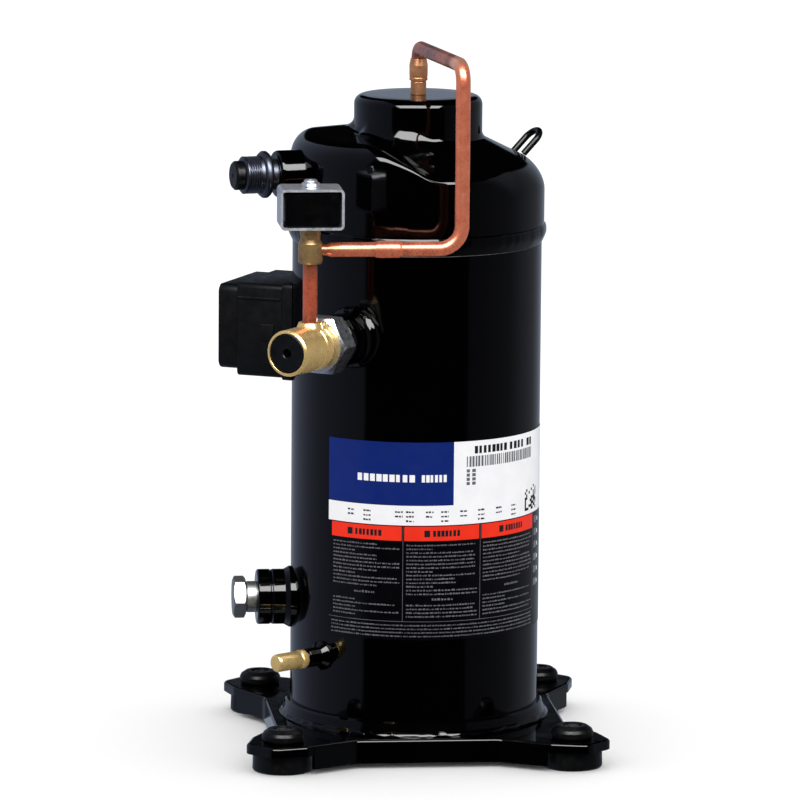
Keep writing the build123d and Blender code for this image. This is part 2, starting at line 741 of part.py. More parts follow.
GUIDE_R, GUIDE_BORE, GUIDE_TOP, CORE_LOW = 4.75, 4.0, 389.0, 378.0
guide_outline = [
    (GUIDE_BORE, VALVE_SHOULDER + SEAT),
    (GUIDE_R, VALVE_SHOULDER + SEAT),
    (GUIDE_R, GUIDE_TOP - 1),
    (2.6, GUIDE_TOP - 1),
    (2.6, 391.6),
    (0, 391.6),
    (0, CORE_LOW),
    (GUIDE_BORE, CORE_LOW),
]
keep(upright(guide_outline, valve_x, valve_y), "valve_guide_tube")
PLUNGER_TOP = 370.0
plunger_outline = [
    (0, SEAT_Z + FIT),
    (2.4, SEAT_Z + FIT),
    (2.4, 349.6),
    (3.6, 350.5),
    (GUIDE_BORE - FIT, 352.5),
    (GUIDE_BORE - FIT, PLUNGER_TOP),
    (0, PLUNGER_TOP),
]
keep(upright(plunger_outline, valve_x, valve_y), "valve_plunger")


def coil_spring(wire, radius, low, high, turns, x=0.0, y=0.0):
    """Compression spring that stands between two heights."""
    with BuildPart() as spring:
        with BuildLine():
            helix = Helix(pitch=(high - low) / turns, height=high - low, radius=radius)
        with BuildSketch(Plane(origin=helix @ 0, z_dir=helix % 0)):
            Circle(wire)
        sweep(path=helix, is_frenet=True)
    return spring.part.moved(Location((x, y, low)))


keep(coil_spring(0.35, 3.0, PLUNGER_TOP + 0.5, CORE_LOW - 0.5, 5, valve_x, valve_y), "plunger_spring")

FRAME_LOW, FRAME_HIGH, FRAME_HALF, FRAME_DEPTH, FRAME_STEEL = 360.0, 386.4, 20.6, 15.0, 1.6
frame_plane = Plane(origin=(valve_x, valve_y, 0), x_dir=(1, 0, 0), z_dir=(0, -1, 0))
frame_middle = (FRAME_LOW + FRAME_HIGH) / 2
frame_tall = FRAME_HIGH - FRAME_LOW
window_wide, window_tall = 2 * (FRAME_HALF - FRAME_STEEL), frame_tall - 2 * FRAME_STEEL
with BuildPart() as coil_bracket:
    with BuildSketch(frame_plane.offset(-FRAME_DEPTH)):
        with Locations((0, frame_middle)):
            RectangleRounded(2 * FRAME_HALF, frame_tall, 2.6)
            RectangleRounded(window_wide, window_tall, 0.8, mode=Mode.SUBTRACT)
    extrude(amount=2 * FRAME_DEPTH)
    with BuildSketch(Plane.XY.offset(FRAME_LOW - 1)):
        with Locations((valve_x, valve_y)):
            Circle(GUIDE_R + FIT)
    extrude(amount=frame_tall + 2, mode=Mode.SUBTRACT)
keep(coil_bracket.part, "coil_bracket")

COIL_HALF, COIL_DEPTH = 17.6, 14.2
with BuildPart() as solenoid_coil:
    with BuildSketch(frame_plane.offset(-COIL_DEPTH)):
        with Locations((0, frame_middle)):
            RectangleRounded(2 * COIL_HALF, window_tall - 2 * SEAT, 1.2)
    extrude(amount=2 * COIL_DEPTH)
    with BuildSketch(Plane(origin=(valve_x - COIL_HALF + 2, 0, 0), x_dir=(0, 1, 0), z_dir=(1, 0, 0))):
        with BuildLine():
            back = valve_y + COIL_DEPTH
            Polyline((back - 1, 366), (back + 7, 366), (back + 7, 352.5), (back + 1.2, 352.5))
            Polyline((back + 1.2, 352.5), (back + 1.2, 363), (back - 1, 363), (back - 1, 366))
        make_face()
    extrude(amount=12)
    with BuildSketch(Plane.XY.offset(FRAME_LOW)):
        with Locations((valve_x, valve_y)):
            Circle(GUIDE_R + CLEAR)
    extrude(amount=frame_tall, mode=Mode.SUBTRACT)
keep(solenoid_coil.part, "solenoid_coil")

coil_nut_plane = Plane(origin=(valve_x, valve_y, FRAME_HIGH + SEAT), z_dir=(0, 0, 1))
with BuildPart() as coil_nut:
    add(hexagon(coil_nut_plane, 11, GUIDE_R + FIT, 3.4))
    with BuildSketch(coil_nut_plane.offset(2.2)):
        Circle(5.2)
        Circle(2.65, mode=Mode.SUBTRACT)
    extrude(amount=2.6)
keep(coil_nut.part, "coil_nut")

# ---------------------------------------------------------------- rating label
LABEL_LOW, LABEL_HIGH, LABEL_START, LABEL_END = 82.4, 214.2, 221.0, 352.0
LABEL_THICK = 0.25
with BuildPart() as rating_label:
    with BuildSketch(Plane.XY.offset(LABEL_LOW)):
        with BuildLine():
            CenterArc((0, 0), SHELL_R + FIT, LABEL_START, LABEL_END - LABEL_START)
            CenterArc((0, 0), SHELL_R + FIT + LABEL_THICK, LABEL_START, LABEL_END - LABEL_START)
            for edge in (LABEL_START, LABEL_END):
                Line(outward(edge) * (SHELL_R + FIT), outward(edge) * (SHELL_R + FIT + LABEL_THICK))
        make_face()
    extrude(amount=LABEL_HIGH - LABEL_LOW)
keep(rating_label.part, "rating_label")

# ---------------------------------------------------------------- scroll set
PORT_R, VALVE_SEAT_Z, VALVE_WELL_R = 5.0, 345.0, 11.0
RING_IN, RING_OUT, SCROLL_TOP = 62.5, 70.0, 350.0
BACK_CHAMBER_IN, BACK_CHAMBER_OUT, BACK_FLOOR = 19.0, 46.0, 343.5
GUIDE_BOLT_REACH, GUIDE_BOLT_R, GUIDE_SLEEVE_R = 75.0, 2.5, 3.8
GUIDE_ANGLES = [9 + 90 * number for number in range(4)]


def wrap(sign, low, high, shift):
    """Scroll wrap: half circles about the two ends of a short line, growing by half a pitch each.

    sign is 1 for the fixed wrap and -1 for the orbiting one, which is the same turned half a turn.
    """
    with BuildPart() as spiral:
        with BuildSketch(Plane.XY.offset(low)):
            with BuildLine():
                for number in range(WRAP_ARCS):
                    side = -1 if number % 2 == 0 else 1
                    centre = (shift + sign * side * WRAP_PITCH / 4, 0)
                    start = (0 if side < 0 else 180) + (0 if sign > 0 else 180)
                    radius = WRAP_START_R + number * WRAP_PITCH / 2
                    CenterArc(centre, radius - WRAP_THICK / 2, start, 180)
                    CenterArc(centre, radius + WRAP_THICK / 2, start, 180)
                inner_end = sign * (WRAP_START_R - WRAP_PITCH / 4)
                outer_end = sign * (WRAP_START_R + (WRAP_ARCS - 1) * WRAP_PITCH / 2 + WRAP_PITCH / 4)
                for end in (inner_end, outer_end):
                    Line((shift + end - WRAP_THICK / 2, 0), (shift + end + WRAP_THICK / 2, 0))
            make_face()
        extrude(amount=high - low)
    return spiral.part


def guide_holes(radius, low, high):
    """Cutter for the four holes on the guide bolts' circle."""
    with BuildPart() as holes:
        with BuildSketch(Plane.XY.offset(low)):
            with PolarLocations(GUIDE_BOLT_REACH, len(GUIDE_ANGLES), start_angle=GUIDE_ANGLES[0]):
                Circle(radius)
        extrude(amount=high - low)
    return holes.part


def lobes(inner, outer, low, high, half_angle, angles):
    """Sectors of a ring, for ears and legs that reach out to the shell."""
    with BuildPart() as ears:
        with BuildSketch(Plane.XY.offset(low)):
            for angle in angles:
                with BuildLine():
                    CenterArc((0, 0), inner, angle - half_angle, 2 * half_angle)
                    CenterArc((0, 0), outer, angle - half_angle, 2 * half_angle)
                    for edge in (angle - half_angle, angle + half_angle):
                        Line(outward(edge) * inner, outward(edge) * outer)
                make_face()
        extrude(amount=high - low)
    return ears.part


EAR_LOW, EAR_HIGH = 312.0, 322.0
fixed_scroll_outline = [
    (PORT_R, SCROLL_CEILING),
    (RING_IN, SCROLL_CEILING),
    (RING_IN, SCROLL_FLOOR + CLEAR),
    (RING_OUT, SCROLL_FLOOR + CLEAR),
    (RING_OUT, 338.5),
    (66, 341.5),
    (58, 345),
    (BACK_CHAMBER_OUT + 3, 348.5),
    (BACK_CHAMBER_OUT, 348.5),
    (BACK_CHAMBER_OUT, BACK_FLOOR),
    (BACK_CHAMBER_IN, BACK_FLOOR),
    (BACK_CHAMBER_IN, SCROLL_TOP + 2),
    (VALVE_WELL_R + 3, SCROLL_TOP + 2),
    (VALVE_WELL_R, SCROLL_TOP + 2),
    (VALVE_WELL_R, VALVE_SEAT_Z),
    (PORT_R, VALVE_SEAT_Z),
]
with BuildPart() as fixed_scroll:
    add(upright(fixed_scroll_outline))
    add(wrap(1, SCROLL_FLOOR + CLEAR, SCROLL_CEILING + 1, 0))
    add(lobes(RING_OUT - 1, SHELL_IN - 0.5, EAR_LOW, EAR_HIGH, 7, GUIDE_ANGLES))
    add(guide_holes(GUIDE_SLEEVE_R + FIT, EAR_LOW - 1, EAR_HIGH + 1), mode=Mode.SUBTRACT)
keep(fixed_scroll.part, "fixed_scroll")

PLATE_R, PLATE_LOW, HUB_OUT, HUB_IN, HUB_LOW = 66.0, 300.3, 22.5, 17.5, 274.0
KEY_HALF, KEY_IN, KEY_OUT = 4.0, 59.5, 67.0
NOTCH_HALF = KEY_HALF + 2 * ORBIT + CLEAR
with BuildPart() as orbiting_scroll:
    add(column(PLATE_R, PLATE_LOW, SCROLL_FLOOR, ORBIT))
    add(washer(HUB_IN, HUB_OUT, HUB_LOW, PLATE_LOW + 1, ORBIT))
    add(wrap(-1, SCROLL_FLOOR - 1, SCROLL_CEILING - CLEAR, ORBIT))
    notch = KEY_IN - ORBIT - CLEAR
    with BuildSketch(Plane.XY.offset(PLATE_LOW - 1)):
        with Locations((ORBIT + notch + 20, 0), (ORBIT - notch - 20, 0)):
            Rectangle(40, 2 * NOTCH_HALF)
    extrude(amount=SCROLL_FLOOR - PLATE_LOW + 2, mode=Mode.SUBTRACT)
keep(orbiting_scroll.part, "orbiting_scroll")

RING_LOW, RING_HIGH = 288.0, 295.0
with BuildPart() as oldham_ring:
    add(washer(57.0, KEY_OUT, RING_LOW, RING_HIGH))
    key_middle = (KEY_IN + KEY_OUT) / 2
    with BuildSketch(Plane.XY.offset(RING_HIGH - 1)):
        with Locations((key_middle, 0), (-key_middle, 0)):
            Rectangle(KEY_OUT - KEY_IN - CLEAR, 2 * KEY_HALF)
    extrude(amount=SCROLL_FLOOR - 1.5 - RING_HIGH + 1)
    with BuildSketch(Plane.XY.offset(281)):
        with Locations((0, key_middle), (0, -key_middle)):
            Rectangle(2 * KEY_HALF, KEY_OUT - KEY_IN - CLEAR)
    extrude(amount=RING_LOW + 1 - 281)
keep(oldham_ring.part, "oldham_ring")

HOUSING_TOP, HOUSING_LOW, HOUSING_FLANGE = 300.0, 234.0, 270.0
BUSH_WALL = 4.0
housing_outline = [
    (JOURNAL_R + BUSH_WALL + FIT, HOUSING_LOW),
    (30, HOUSING_LOW),
    (32, 250),
    (52, 258),
    (58, HOUSING_FLANGE),
    (68, HOUSING_FLANGE),
    (68, RING_LOW - 0.4),
    (51, RING_LOW - 0.4),
    (51, HOUSING_TOP),
    (40, HOUSING_TOP),
    (40, 272),
    (34, 268.5),
    (JOURNAL_R + BUSH_WALL + FIT, 268.5),
]
with BuildPart() as main_bearing_housing:
    add(upright(housing_outline))
    add(lobes(60, SHELL_IN - FIT, HOUSING_FLANGE, RING_LOW - 0.4, 15, GUIDE_ANGLES))
    add(lobes(72.2, SHELL_IN - FIT, HOUSING_FLANGE, EAR_LOW - CLEAR, 7, GUIDE_ANGLES))
    with BuildSketch(Plane.XY.offset(280)):
        with Locations((0, key_middle), (0, -key_middle)):
            Rectangle(2 * (KEY_HALF + FIT), KEY_OUT - KEY_IN + 2 * ORBIT + 1)
    extrude(amount=RING_LOW - 280, mode=Mode.SUBTRACT)
    add(guide_holes(GUIDE_BOLT_R, HOUSING_FLANGE + 6, EAR_LOW), mode=Mode.SUBTRACT)
keep(main_bearing_housing.part, "main_bearing_housing")
keep(washer(JOURNAL_R + FIT, JOURNAL_R + BUSH_WALL, HOUSING_LOW, 268), "main_bush")

GUIDE_FOOT, GUIDE_HEAD = EAR_LOW - CLEAR + SEAT, EAR_HIGH + 1.2
guide_bolt_outline = [
    (0, HOUSING_FLANGE + 7),
    (GUIDE_BOLT_R - FIT, HOUSING_FLANGE + 7),
    (GUIDE_BOLT_R - FIT, GUIDE_FOOT),
    (GUIDE_SLEEVE_R - FIT, GUIDE_FOOT),
    (GUIDE_SLEEVE_R - FIT, GUIDE_HEAD),
    (4.3, GUIDE_HEAD),
    (4.3, GUIDE_HEAD + 4),
    (0, GUIDE_HEAD + 4),
]
with BuildPart() as guide_bolts:
    with PolarLocations(GUIDE_BOLT_REACH, len(GUIDE_ANGLES), start_angle=GUIDE_ANGLES[0]):
        add(upright(guide_bolt_outline))
keep(guide_bolts.part, "guide_bolts")

BUSH_OUT = HUB_IN - FIT
keep(washer(PIN_R + BUSH_WALL + 1.5, BUSH_OUT, HUB_LOW, PLATE_LOW - 2, ORBIT), "hub_bush")
keep(washer(PIN_R + FIT, PIN_R + BUSH_WALL + 1.5 - FIT, HUB_LOW, PLATE_LOW - 3, ORBIT), "drive_bush")

# ---------------------------------------------------------------- pistons, seal and check valve
SEAL_LIP_TOP = 350.2
floating_seal_outline = [
    (BACK_CHAMBER_IN + FIT, BACK_FLOOR + FIT),
    (BACK_CHAMBER_OUT - FIT, BACK_FLOOR + FIT),
    (BACK_CHAMBER_OUT - FIT, 347.5),
    (28, 347.5),
    (27, SEAL_LIP_TOP),
    (24, SEAL_LIP_TOP),
    (23, 347.5),
    (BACK_CHAMBER_IN + FIT, 347.5),
]
keep(upright(floating_seal_outline), "floating_seal")
keep(column(VALVE_WELL_R - 0.5, VALVE_SEAT_Z + FIT, VALVE_SEAT_Z + 2), "discharge_valve_disc")

PISTON_R, PISTON_LOW, PISTON_TOP = 33.0, 410.0, 418.0
STEM_IN, STEM_OUT, STEM_FOOT = 8.5, 12.0, SCROLL_TOP + 2
with BuildPart() as lift_piston:
    add(
        upright(
            [
                (STEM_IN, SCROLL_TOP + 0.4),
                (VALVE_WELL_R - FIT, SCROLL_TOP + 0.4),
                (VALVE_WELL_R - FIT, STEM_FOOT + FIT),
                (14, STEM_FOOT + FIT),
                (14, STEM_FOOT + 3),
                (STEM_OUT, STEM_FOOT + 4),
                (STEM_OUT, PISTON_LOW - 4),
                (16, PISTON_LOW),
                (PISTON_R - 1, PISTON_LOW),
                (PISTON_R, PISTON_LOW + 1),
                (PISTON_R, PISTON_TOP),
                (18, PISTON_TOP),
                (18, PISTON_TOP - 4),
                (0, PISTON_TOP - 4),
                (0, PISTON_LOW),
                (STEM_IN, PISTON_LOW),
            ]
        )
    )
    with BuildSketch(Plane.XZ):
        with Locations((0, 374)):
            RectangleRounded(10, 18, 4.5)
    extrude(amount=20, both=True, mode=Mode.SUBTRACT)
    with BuildSketch(Plane.YZ):
        with Locations((0, 374)):
            RectangleRounded(10, 18, 4.5)
    extrude(amount=20, both=True, mode=Mode.SUBTRACT)
keep(lift_piston.part, "lift_piston")
CYLINDER_OUT = TURRET_R - CAP_WALL - FIT
keep(washer(PISTON_R + FIT, CYLINDER_OUT, 407.5, TURRET_TOP - 10), "lift_cylinder")
SPRING_LOW, SPRING_HIGH = PISTON_TOP - 4 + 1.2, TURRET_TOP - CAP_WALL - 1.2
keep(coil_spring(0.9, 12.0, SPRING_LOW, SPRING_HIGH, 4), "lift_spring")

# ---------------------------------------------------------------- shaft and motor
SHAFT_FOOT, COLLAR_LOW, JOURNAL_TOP, PIN_TOP = 50.0, 216.0, 270.0, 296.5
crank_outline = [
    (0, SHAFT_FOOT),
    (TAIL_R - 1, SHAFT_FOOT),
    (TAIL_R, SHAFT_FOOT + 1),
    (TAIL_R, 83),
    (SHAFT_R, 83.5),
    (SHAFT_R, COLLAR_LOW + 8),
    (JOURNAL_R + 2.5, COLLAR_LOW + 10),
    (JOURNAL_R + 2.5, HOUSING_LOW - 0.5),
    (JOURNAL_R, HOUSING_LOW - 0.5),
    (JOURNAL_R, JOURNAL_TOP),
    (0, JOURNAL_TOP),
]
with BuildPart() as crankshaft:
    add(upright(crank_outline))
    add(column(PIN_R, JOURNAL_TOP - 1, PIN_TOP, ORBIT))
    add(column(2.2, SHAFT_FOOT - 1, PIN_TOP + 1, ORBIT - 1), mode=Mode.SUBTRACT)
keep(crankshaft.part, "crankshaft")

ROTOR_R, STATOR_IN, END_RING = 41.4, 42.0, 6.0
rotor_outline = [
    (SHAFT_R + FIT, MOTOR_BOTTOM),
    (27, MOTOR_BOTTOM),
    (28, MOTOR_BOTTOM - END_RING),
    (40, MOTOR_BOTTOM - END_RING),
    (ROTOR_R, MOTOR_BOTTOM),
    (ROTOR_R, MOTOR_TOP),
    (40, MOTOR_TOP + END_RING),
    (28, MOTOR_TOP + END_RING),
    (27, MOTOR_TOP),
    (SHAFT_R + FIT, MOTOR_TOP),
]
keep(upright(rotor_outline), "rotor_core")
WEIGHT_IN, WEIGHT_OUT, WEIGHT_SPAN = 15.0, 39.5, 80
upper_low = MOTOR_TOP + END_RING + FIT
lower_top = MOTOR_BOTTOM - END_RING - FIT
keep(lobes(WEIGHT_IN, WEIGHT_OUT, upper_low, upper_low + 10, WEIGHT_SPAN, [180]), "upper_counterweight")
keep(lobes(WEIGHT_IN, WEIGHT_OUT, lower_top - 12, lower_top, WEIGHT_SPAN, [0]), "lower_counterweight")

SLOT_COUNT, SLOT_REACH, SLOT_LONG, SLOT_WIDE = 24, 54.5, 18.0, 5.2
with BuildPart() as stator_core:
    with BuildSketch(Plane.XY.offset(MOTOR_BOTTOM)):
        Circle(SHELL_IN - FIT)
        Circle(STATOR_IN, mode=Mode.SUBTRACT)
        with PolarLocations(SLOT_REACH, SLOT_COUNT):
            RectangleRounded(SLOT_LONG, SLOT_WIDE, 2, mode=Mode.SUBTRACT)
        with PolarLocations(SHELL_IN + 7.5, 4, start_angle=45):
            Rectangle(20, 44, mode=Mode.SUBTRACT)
    extrude(amount=MOTOR_TOP - MOTOR_BOTTOM)
keep(stator_core.part, "stator_core")

WINDING_IN, WINDING_OUT, WINDING_RISE = 45.5, 71.0, 24.0
with BuildPart() as stator_windings:
    for low, high in [
        (MOTOR_BOTTOM - WINDING_RISE, MOTOR_BOTTOM - FIT),
        (MOTOR_TOP + FIT, MOTOR_TOP + WINDING_RISE),
    ]:
        add(washer(WINDING_IN, WINDING_OUT, low, high))
    chamfer(edges().filter_by(GeomType.CIRCLE).group_by(Axis.Z)[0], 4)
    chamfer(edges().filter_by(GeomType.CIRCLE).group_by(Axis.Z)[-1], 4)
    with BuildSketch(Plane.XY.offset(MOTOR_BOTTOM - FIT)):
        with PolarLocations(SLOT_REACH, SLOT_COUNT):
            RectangleRounded(SLOT_LONG - 1, SLOT_WIDE - 1, 1.6)
    extrude(amount=MOTOR_TOP - MOTOR_BOTTOM + 2 * FIT)
keep(stator_windings.part, "stator_windings")

BRACKET_LOW, BRACKET_HIGH, LOWER_BUSH_R = 62.0, 82.5, 14.5
with BuildPart() as lower_bearing_bracket:
    add(washer(LOWER_BUSH_R + FIT, 21, BRACKET_LOW, BRACKET_HIGH))
    add(lobes(20, SHELL_IN - FIT, 66, 74, 11, [30, 150, 270]))
keep(lower_bearing_bracket.part, "lower_bearing_bracket")
keep(washer(TAIL_R + FIT, LOWER_BUSH_R, BRACKET_LOW, BRACKET_HIGH), "lower_bush")

BAFFLE_REACH, BAFFLE_HALF, BAFFLE_SHEET = 71.6, 16.0, 1.0
baffle_plane = Plane(origin=(0, 0, SUCTION_Z - 17.5), x_dir=outward(SUCTION_ANGLE), z_dir=(0, 0, 1))
with BuildPart() as suction_baffle:
    with BuildSketch(baffle_plane):
        with BuildLine():
            Polyline(
                (77.4, -BAFFLE_HALF),
                (BAFFLE_REACH, -BAFFLE_HALF),
                (BAFFLE_REACH, BAFFLE_HALF),
                (77.4, BAFFLE_HALF),
                (77.4, BAFFLE_HALF - BAFFLE_SHEET),
                (BAFFLE_REACH + BAFFLE_SHEET, BAFFLE_HALF - BAFFLE_SHEET),
                (BAFFLE_REACH + BAFFLE_SHEET, BAFFLE_SHEET - BAFFLE_HALF),
                (77.4, BAFFLE_SHEET - BAFFLE_HALF),
                close=True,
            )
        make_face()
    extrude(amount=35)
keep(suction_baffle.part, "suction_baffle")

LEAD_R, LEAD_REACH = 1.1, 70.2
with BuildPart() as motor_leads:
    for spoke in (90, 210, 330):
        level = outward(BOX_ANGLE + 90) * (PIN_SPACING * cos(radians(spoke)))
        up = BOX_Z + PIN_SPACING * sin(radians(spoke))
        route = [
            outward(BOX_ANGLE) * (PIN_INNER - SEAT) + level + Vector(0, 0, up),
            outward(BOX_ANGLE) * LEAD_REACH + level + Vector(0, 0, up),
            outward(BOX_ANGLE) * LEAD_REACH + level + Vector(0, 0, MOTOR_TOP + WINDING_RISE + SEAT),
        ]
        add(tube(route, [1.8], LEAD_R, LEAD_R - 0.3))
keep(motor_leads.part, "motor_leads")
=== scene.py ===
"""Looks of the hermetic scroll compressor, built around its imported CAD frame.

Sizes are in millimetres and become metres where a mesh is made. Angles are in degrees about +Z
from +X. A turned piece's outline is a closed list of (along, radius) points.
"""

import random
from math import cos, pi, radians, sin, sqrt, tan

import bmesh
import bpy
from mathutils import Matrix, Vector


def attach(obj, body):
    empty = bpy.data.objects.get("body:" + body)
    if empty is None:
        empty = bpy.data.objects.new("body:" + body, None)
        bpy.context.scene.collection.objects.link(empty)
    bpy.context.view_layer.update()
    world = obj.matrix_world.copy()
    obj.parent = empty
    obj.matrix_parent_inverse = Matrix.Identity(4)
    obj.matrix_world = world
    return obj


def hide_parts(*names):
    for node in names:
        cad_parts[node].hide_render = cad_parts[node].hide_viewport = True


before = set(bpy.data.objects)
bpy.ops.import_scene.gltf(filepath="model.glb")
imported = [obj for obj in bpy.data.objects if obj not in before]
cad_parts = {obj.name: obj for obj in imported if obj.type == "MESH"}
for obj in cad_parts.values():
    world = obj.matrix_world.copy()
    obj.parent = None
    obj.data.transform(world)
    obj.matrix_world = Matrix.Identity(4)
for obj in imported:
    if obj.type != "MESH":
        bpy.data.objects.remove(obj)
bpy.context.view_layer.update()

MM = 0.001
TURN = 2 * pi

# ---------------- sizes shared with the CAD
SHELL_R = 82.5
CAP_R, CAP_BOTTOM = 84.0, 341.2
TURRET_R, TURRET_TOP = 42.4, 433.0
SHOULDER_TOP = 411.7
SUCTION_ANGLE, SUCTION_Z = 234.0, 281.5
DISCHARGE_ANGLE, DISCHARGE_Z = 194.0, 383.5
SIGHT_ANGLE, SIGHT_Z = 180.0, 97.0
OIL_ANGLE, OIL_Z = 217.0, 66.5
BOX_ANGLE, BOX_Z = 153.0, 274.0
VALVE_X, VALVE_Y = -80.53, -110.84
VALVE_PORT_Z = 345.5
FOOT_PITCH = 190.5
CAMERA_ANGLE = 264.1  # the side that the camera stands on


# ---------------- node materials
NOISE_RANGE = (0.25, 0.75)  # where nearly all of a noise's values lie
SATIN = 0.62  # how metallic a handled, slightly clouded surface is


class Graph:
    """Short ways to add shader nodes to a tree."""

    def __init__(self, tree):
        self.nodes, self.links = tree.nodes, tree.links

    def feed(self, socket, value):
        """Links another node's output to the socket, or sets the socket's own value."""
        if isinstance(value, bpy.types.NodeSocket):
            self.links.new(value, socket)
        elif socket.type == "RGBA":
            socket.default_value = (*value, 1)
        else:
            socket.default_value = value

    def add(self, kind, inputs, **settings):
        node = self.nodes.new(f"ShaderNode{kind}")
        for setting, value in settings.items():
            setattr(node, setting, value)
        for socket, value in inputs.items():
            self.feed(node.inputs[socket], value)
        return node

    def math(self, operation, *values):
        return self.add("Math", dict(enumerate(values)), operation=operation).outputs[0]

    def ramp(self, factor, *stops):
        """Colours or greys at places from 0 to 1."""
        node = self.add("ValToRGB", {"Fac": factor})
        elements = node.color_ramp.elements
        while len(elements) < len(stops):
            elements.new(0.5)
        for element, (place, value) in zip(elements, stops):
            element.position = place
            rgb = value if isinstance(value, tuple) else (value, value, value)
            element.color = (*rgb, 1)
        return node.outputs["Color"]

    def blend(self, factor, first, second):
        return self.add("Mix", {0: factor, 6: first, 7: second}, data_type="RGBA").outputs[2]


class Look(Graph):
    """A Principled material whose colour, roughness and bump come from procedural nodes."""

    def __init__(self, name, metallic=0.0, specular=0.5):
        self.name = name
        self.material = bpy.data.materials.new(name)
        self.material.use_nodes = True
        super().__init__(self.material.node_tree)
        self.shader = self.nodes["Principled BSDF"].inputs
        self.feed(self.shader["Metallic"], metallic)
        self.feed(self.shader["Specular IOR Level"], specular)
        self.place = self.add("TexCoord", {}).outputs["Object"]
        self.relief = None

    def noise(self, scale, detail=3.0, roughness=0.5, stretch=(1, 1, 1)):
        """Noise over places in metres, stretched by a factor for each axis."""
        place = self.add("Mapping", {"Vector": self.place, "Scale": stretch}).outputs["Vector"]
        inputs = {"Vector": place, "Scale": scale, "Detail": detail, "Roughness": roughness}
        return self.add("TexNoise", inputs).outputs["Fac"]

    def cells(self, scale):
        return self.add("TexVoronoi", {"Vector": self.place, "Scale": scale}).outputs["Distance"]

    def bands(self, scale):
        """Level layers."""
        inputs = {"Vector": self.place, "Scale": scale}
        return self.add("TexWave", inputs, bands_direction="Z").outputs["Fac"]

    def lathe_marks(self, scale):
        """Fine rings round a turned piece, from the 'along' value that its points carry."""
        along = self.add("Attribute", {}, attribute_name="along").outputs["Fac"]
        return self.add("TexNoise", {"W": along, "Scale": scale}, noise_dimensions="1D").outputs["Fac"]

    def near(self, point, reach):
        """1 at a point given in mm, fading to 0 at that reach."""
        middle = [value * MM for value in point]
        gap = self.add("VectorMath", {0: self.place, 1: middle}, operation="DISTANCE").outputs["Value"]
        inputs = {"Value": gap, "From Min": reach * MM, "From Max": 0.0}
        return self.add("MapRange", inputs, interpolation_type="SMOOTHSTEP").outputs["Result"]

    def colour(self, tones):
        self.feed(self.shader["Base Color"], tones)

    def rough(self, factor, low, high):
        inputs = {"Value": factor, "To Min": low, "To Max": high}
        inputs["From Min"], inputs["From Max"] = NOISE_RANGE
        self.feed(self.shader["Roughness"], self.add("MapRange", inputs).outputs["Result"])

    def bump(self, height, depth):
        """Adds relief of that depth in mm to what is already there."""
        inputs = {"Strength": 1.0, "Distance": depth * MM, "Height": height}
        if self.relief is not None:
            inputs["Normal"] = self.relief
        self.relief = self.add("Bump", inputs).outputs["Normal"]
        self.feed(self.shader["Normal"], self.relief)


def black_paint():
    look = Look("black_paint", specular=0.3)
    clouds = look.noise(9, 4)
    look.colour(look.ramp(clouds, (0.3, (0.0002, 0.0002, 0.0003)), (0.75, (0.0005, 0.0005, 0.0007))))
    look.rough(look.noise(38, 5, 0.65), 0.045, 0.10)
    look.bump(look.noise(420, 2), 0.012)
    look.bump(look.noise(46, 1), 0.05)
    return look


def rubber():
    look = Look("rubber", specular=0.18)
    clouds = look.noise(120, 5)
    look.colour(look.ramp(clouds, (0.3, (0.0008, 0.0012, 0.0018)), (0.8, (0.0030, 0.0036, 0.0048))))
    look.rough(look.noise(260, 4), 0.26, 0.46)
    look.bump(look.noise(900, 3), 0.03)
    return look


def plated(name, tone, warm, low, high):
    """Zinc-plated steel with faint passivation clouds and turning marks."""
    look = Look(name, metallic=1.0)
    clouds = look.noise(150, 5, 0.6)
    dimmed = tuple(0.9 * value for value in tone)
    look.colour(look.ramp(clouds, (0.3, tone), (0.6, dimmed), (0.8, warm)))
    look.rough(look.noise(420, 4), low, high)
    look.bump(look.lathe_marks(3000), 0.006)
    look.bump(look.noise(500, 2), 0.006)
    return look


def brass():
    look = Look("brass", metallic=SATIN)
    stain = look.noise(170, 5, 0.62)
    bright, middle, dull = (0.86, 0.62, 0.26), (0.80, 0.55, 0.21), (0.52, 0.34, 0.12)
    look.colour(look.ramp(stain, (0.28, bright), (0.6, middle), (0.85, dull)))
    look.rough(look.noise(300, 4), 0.22, 0.34)
    look.bump(look.lathe_marks(2500), 0.008)
    return look


def stained_brass(name, light, middle, dark):
    """Brass stained by the torch."""
    look = Look(name, metallic=SATIN)
    stain = look.noise(190, 6, 0.65)
    look.colour(look.ramp(stain, (0.3, light), (0.5, middle), (0.75, dark)))
    look.rough(look.noise(380, 4), 0.26, 0.42)
    look.bump(look.lathe_marks(2500), 0.008)
    return look


def copper(name, tones, stains_and_painted_light):
    """Copper tube, tinted round each listed place (point, reach, tint): most tints are brazing stains, one
    is a painted highlight on a bend, and one is heat tint darkened further as a painted dark reflection
    along the top run.
    """
    look = Look(name, metallic=SATIN)
    drawn = look.noise(130, 5, 0.6)
    surface = look.ramp(drawn, *zip((0.25, 0.6, 0.85), tones))
    patchy = look.ramp(look.noise(260, 5, 0.7), (0.2, 0.55), (0.6, 1.0))
    for point, reach, tint in stains_and_painted_light:
        mottled = look.math("MULTIPLY", look.near(point, reach), patchy)
        surface = look.blend(mottled, surface, tint)
    look.colour(surface)
    look.rough(look.noise(420, 4), 0.24, 0.34)
    look.bump(look.noise(70, 1), 0.02)
    return look


def moulded(name, dark, light, low, high, grain, depth):
    """Moulded plastic with a fine grain."""
    look = Look(name, specular=0.2)
    look.colour(look.ramp(look.noise(60, 5), (0.3, dark), (0.8, light)))
    look.rough(look.noise(180, 4), low, high)
    look.bump(look.noise(grain, 2), depth)
    return look


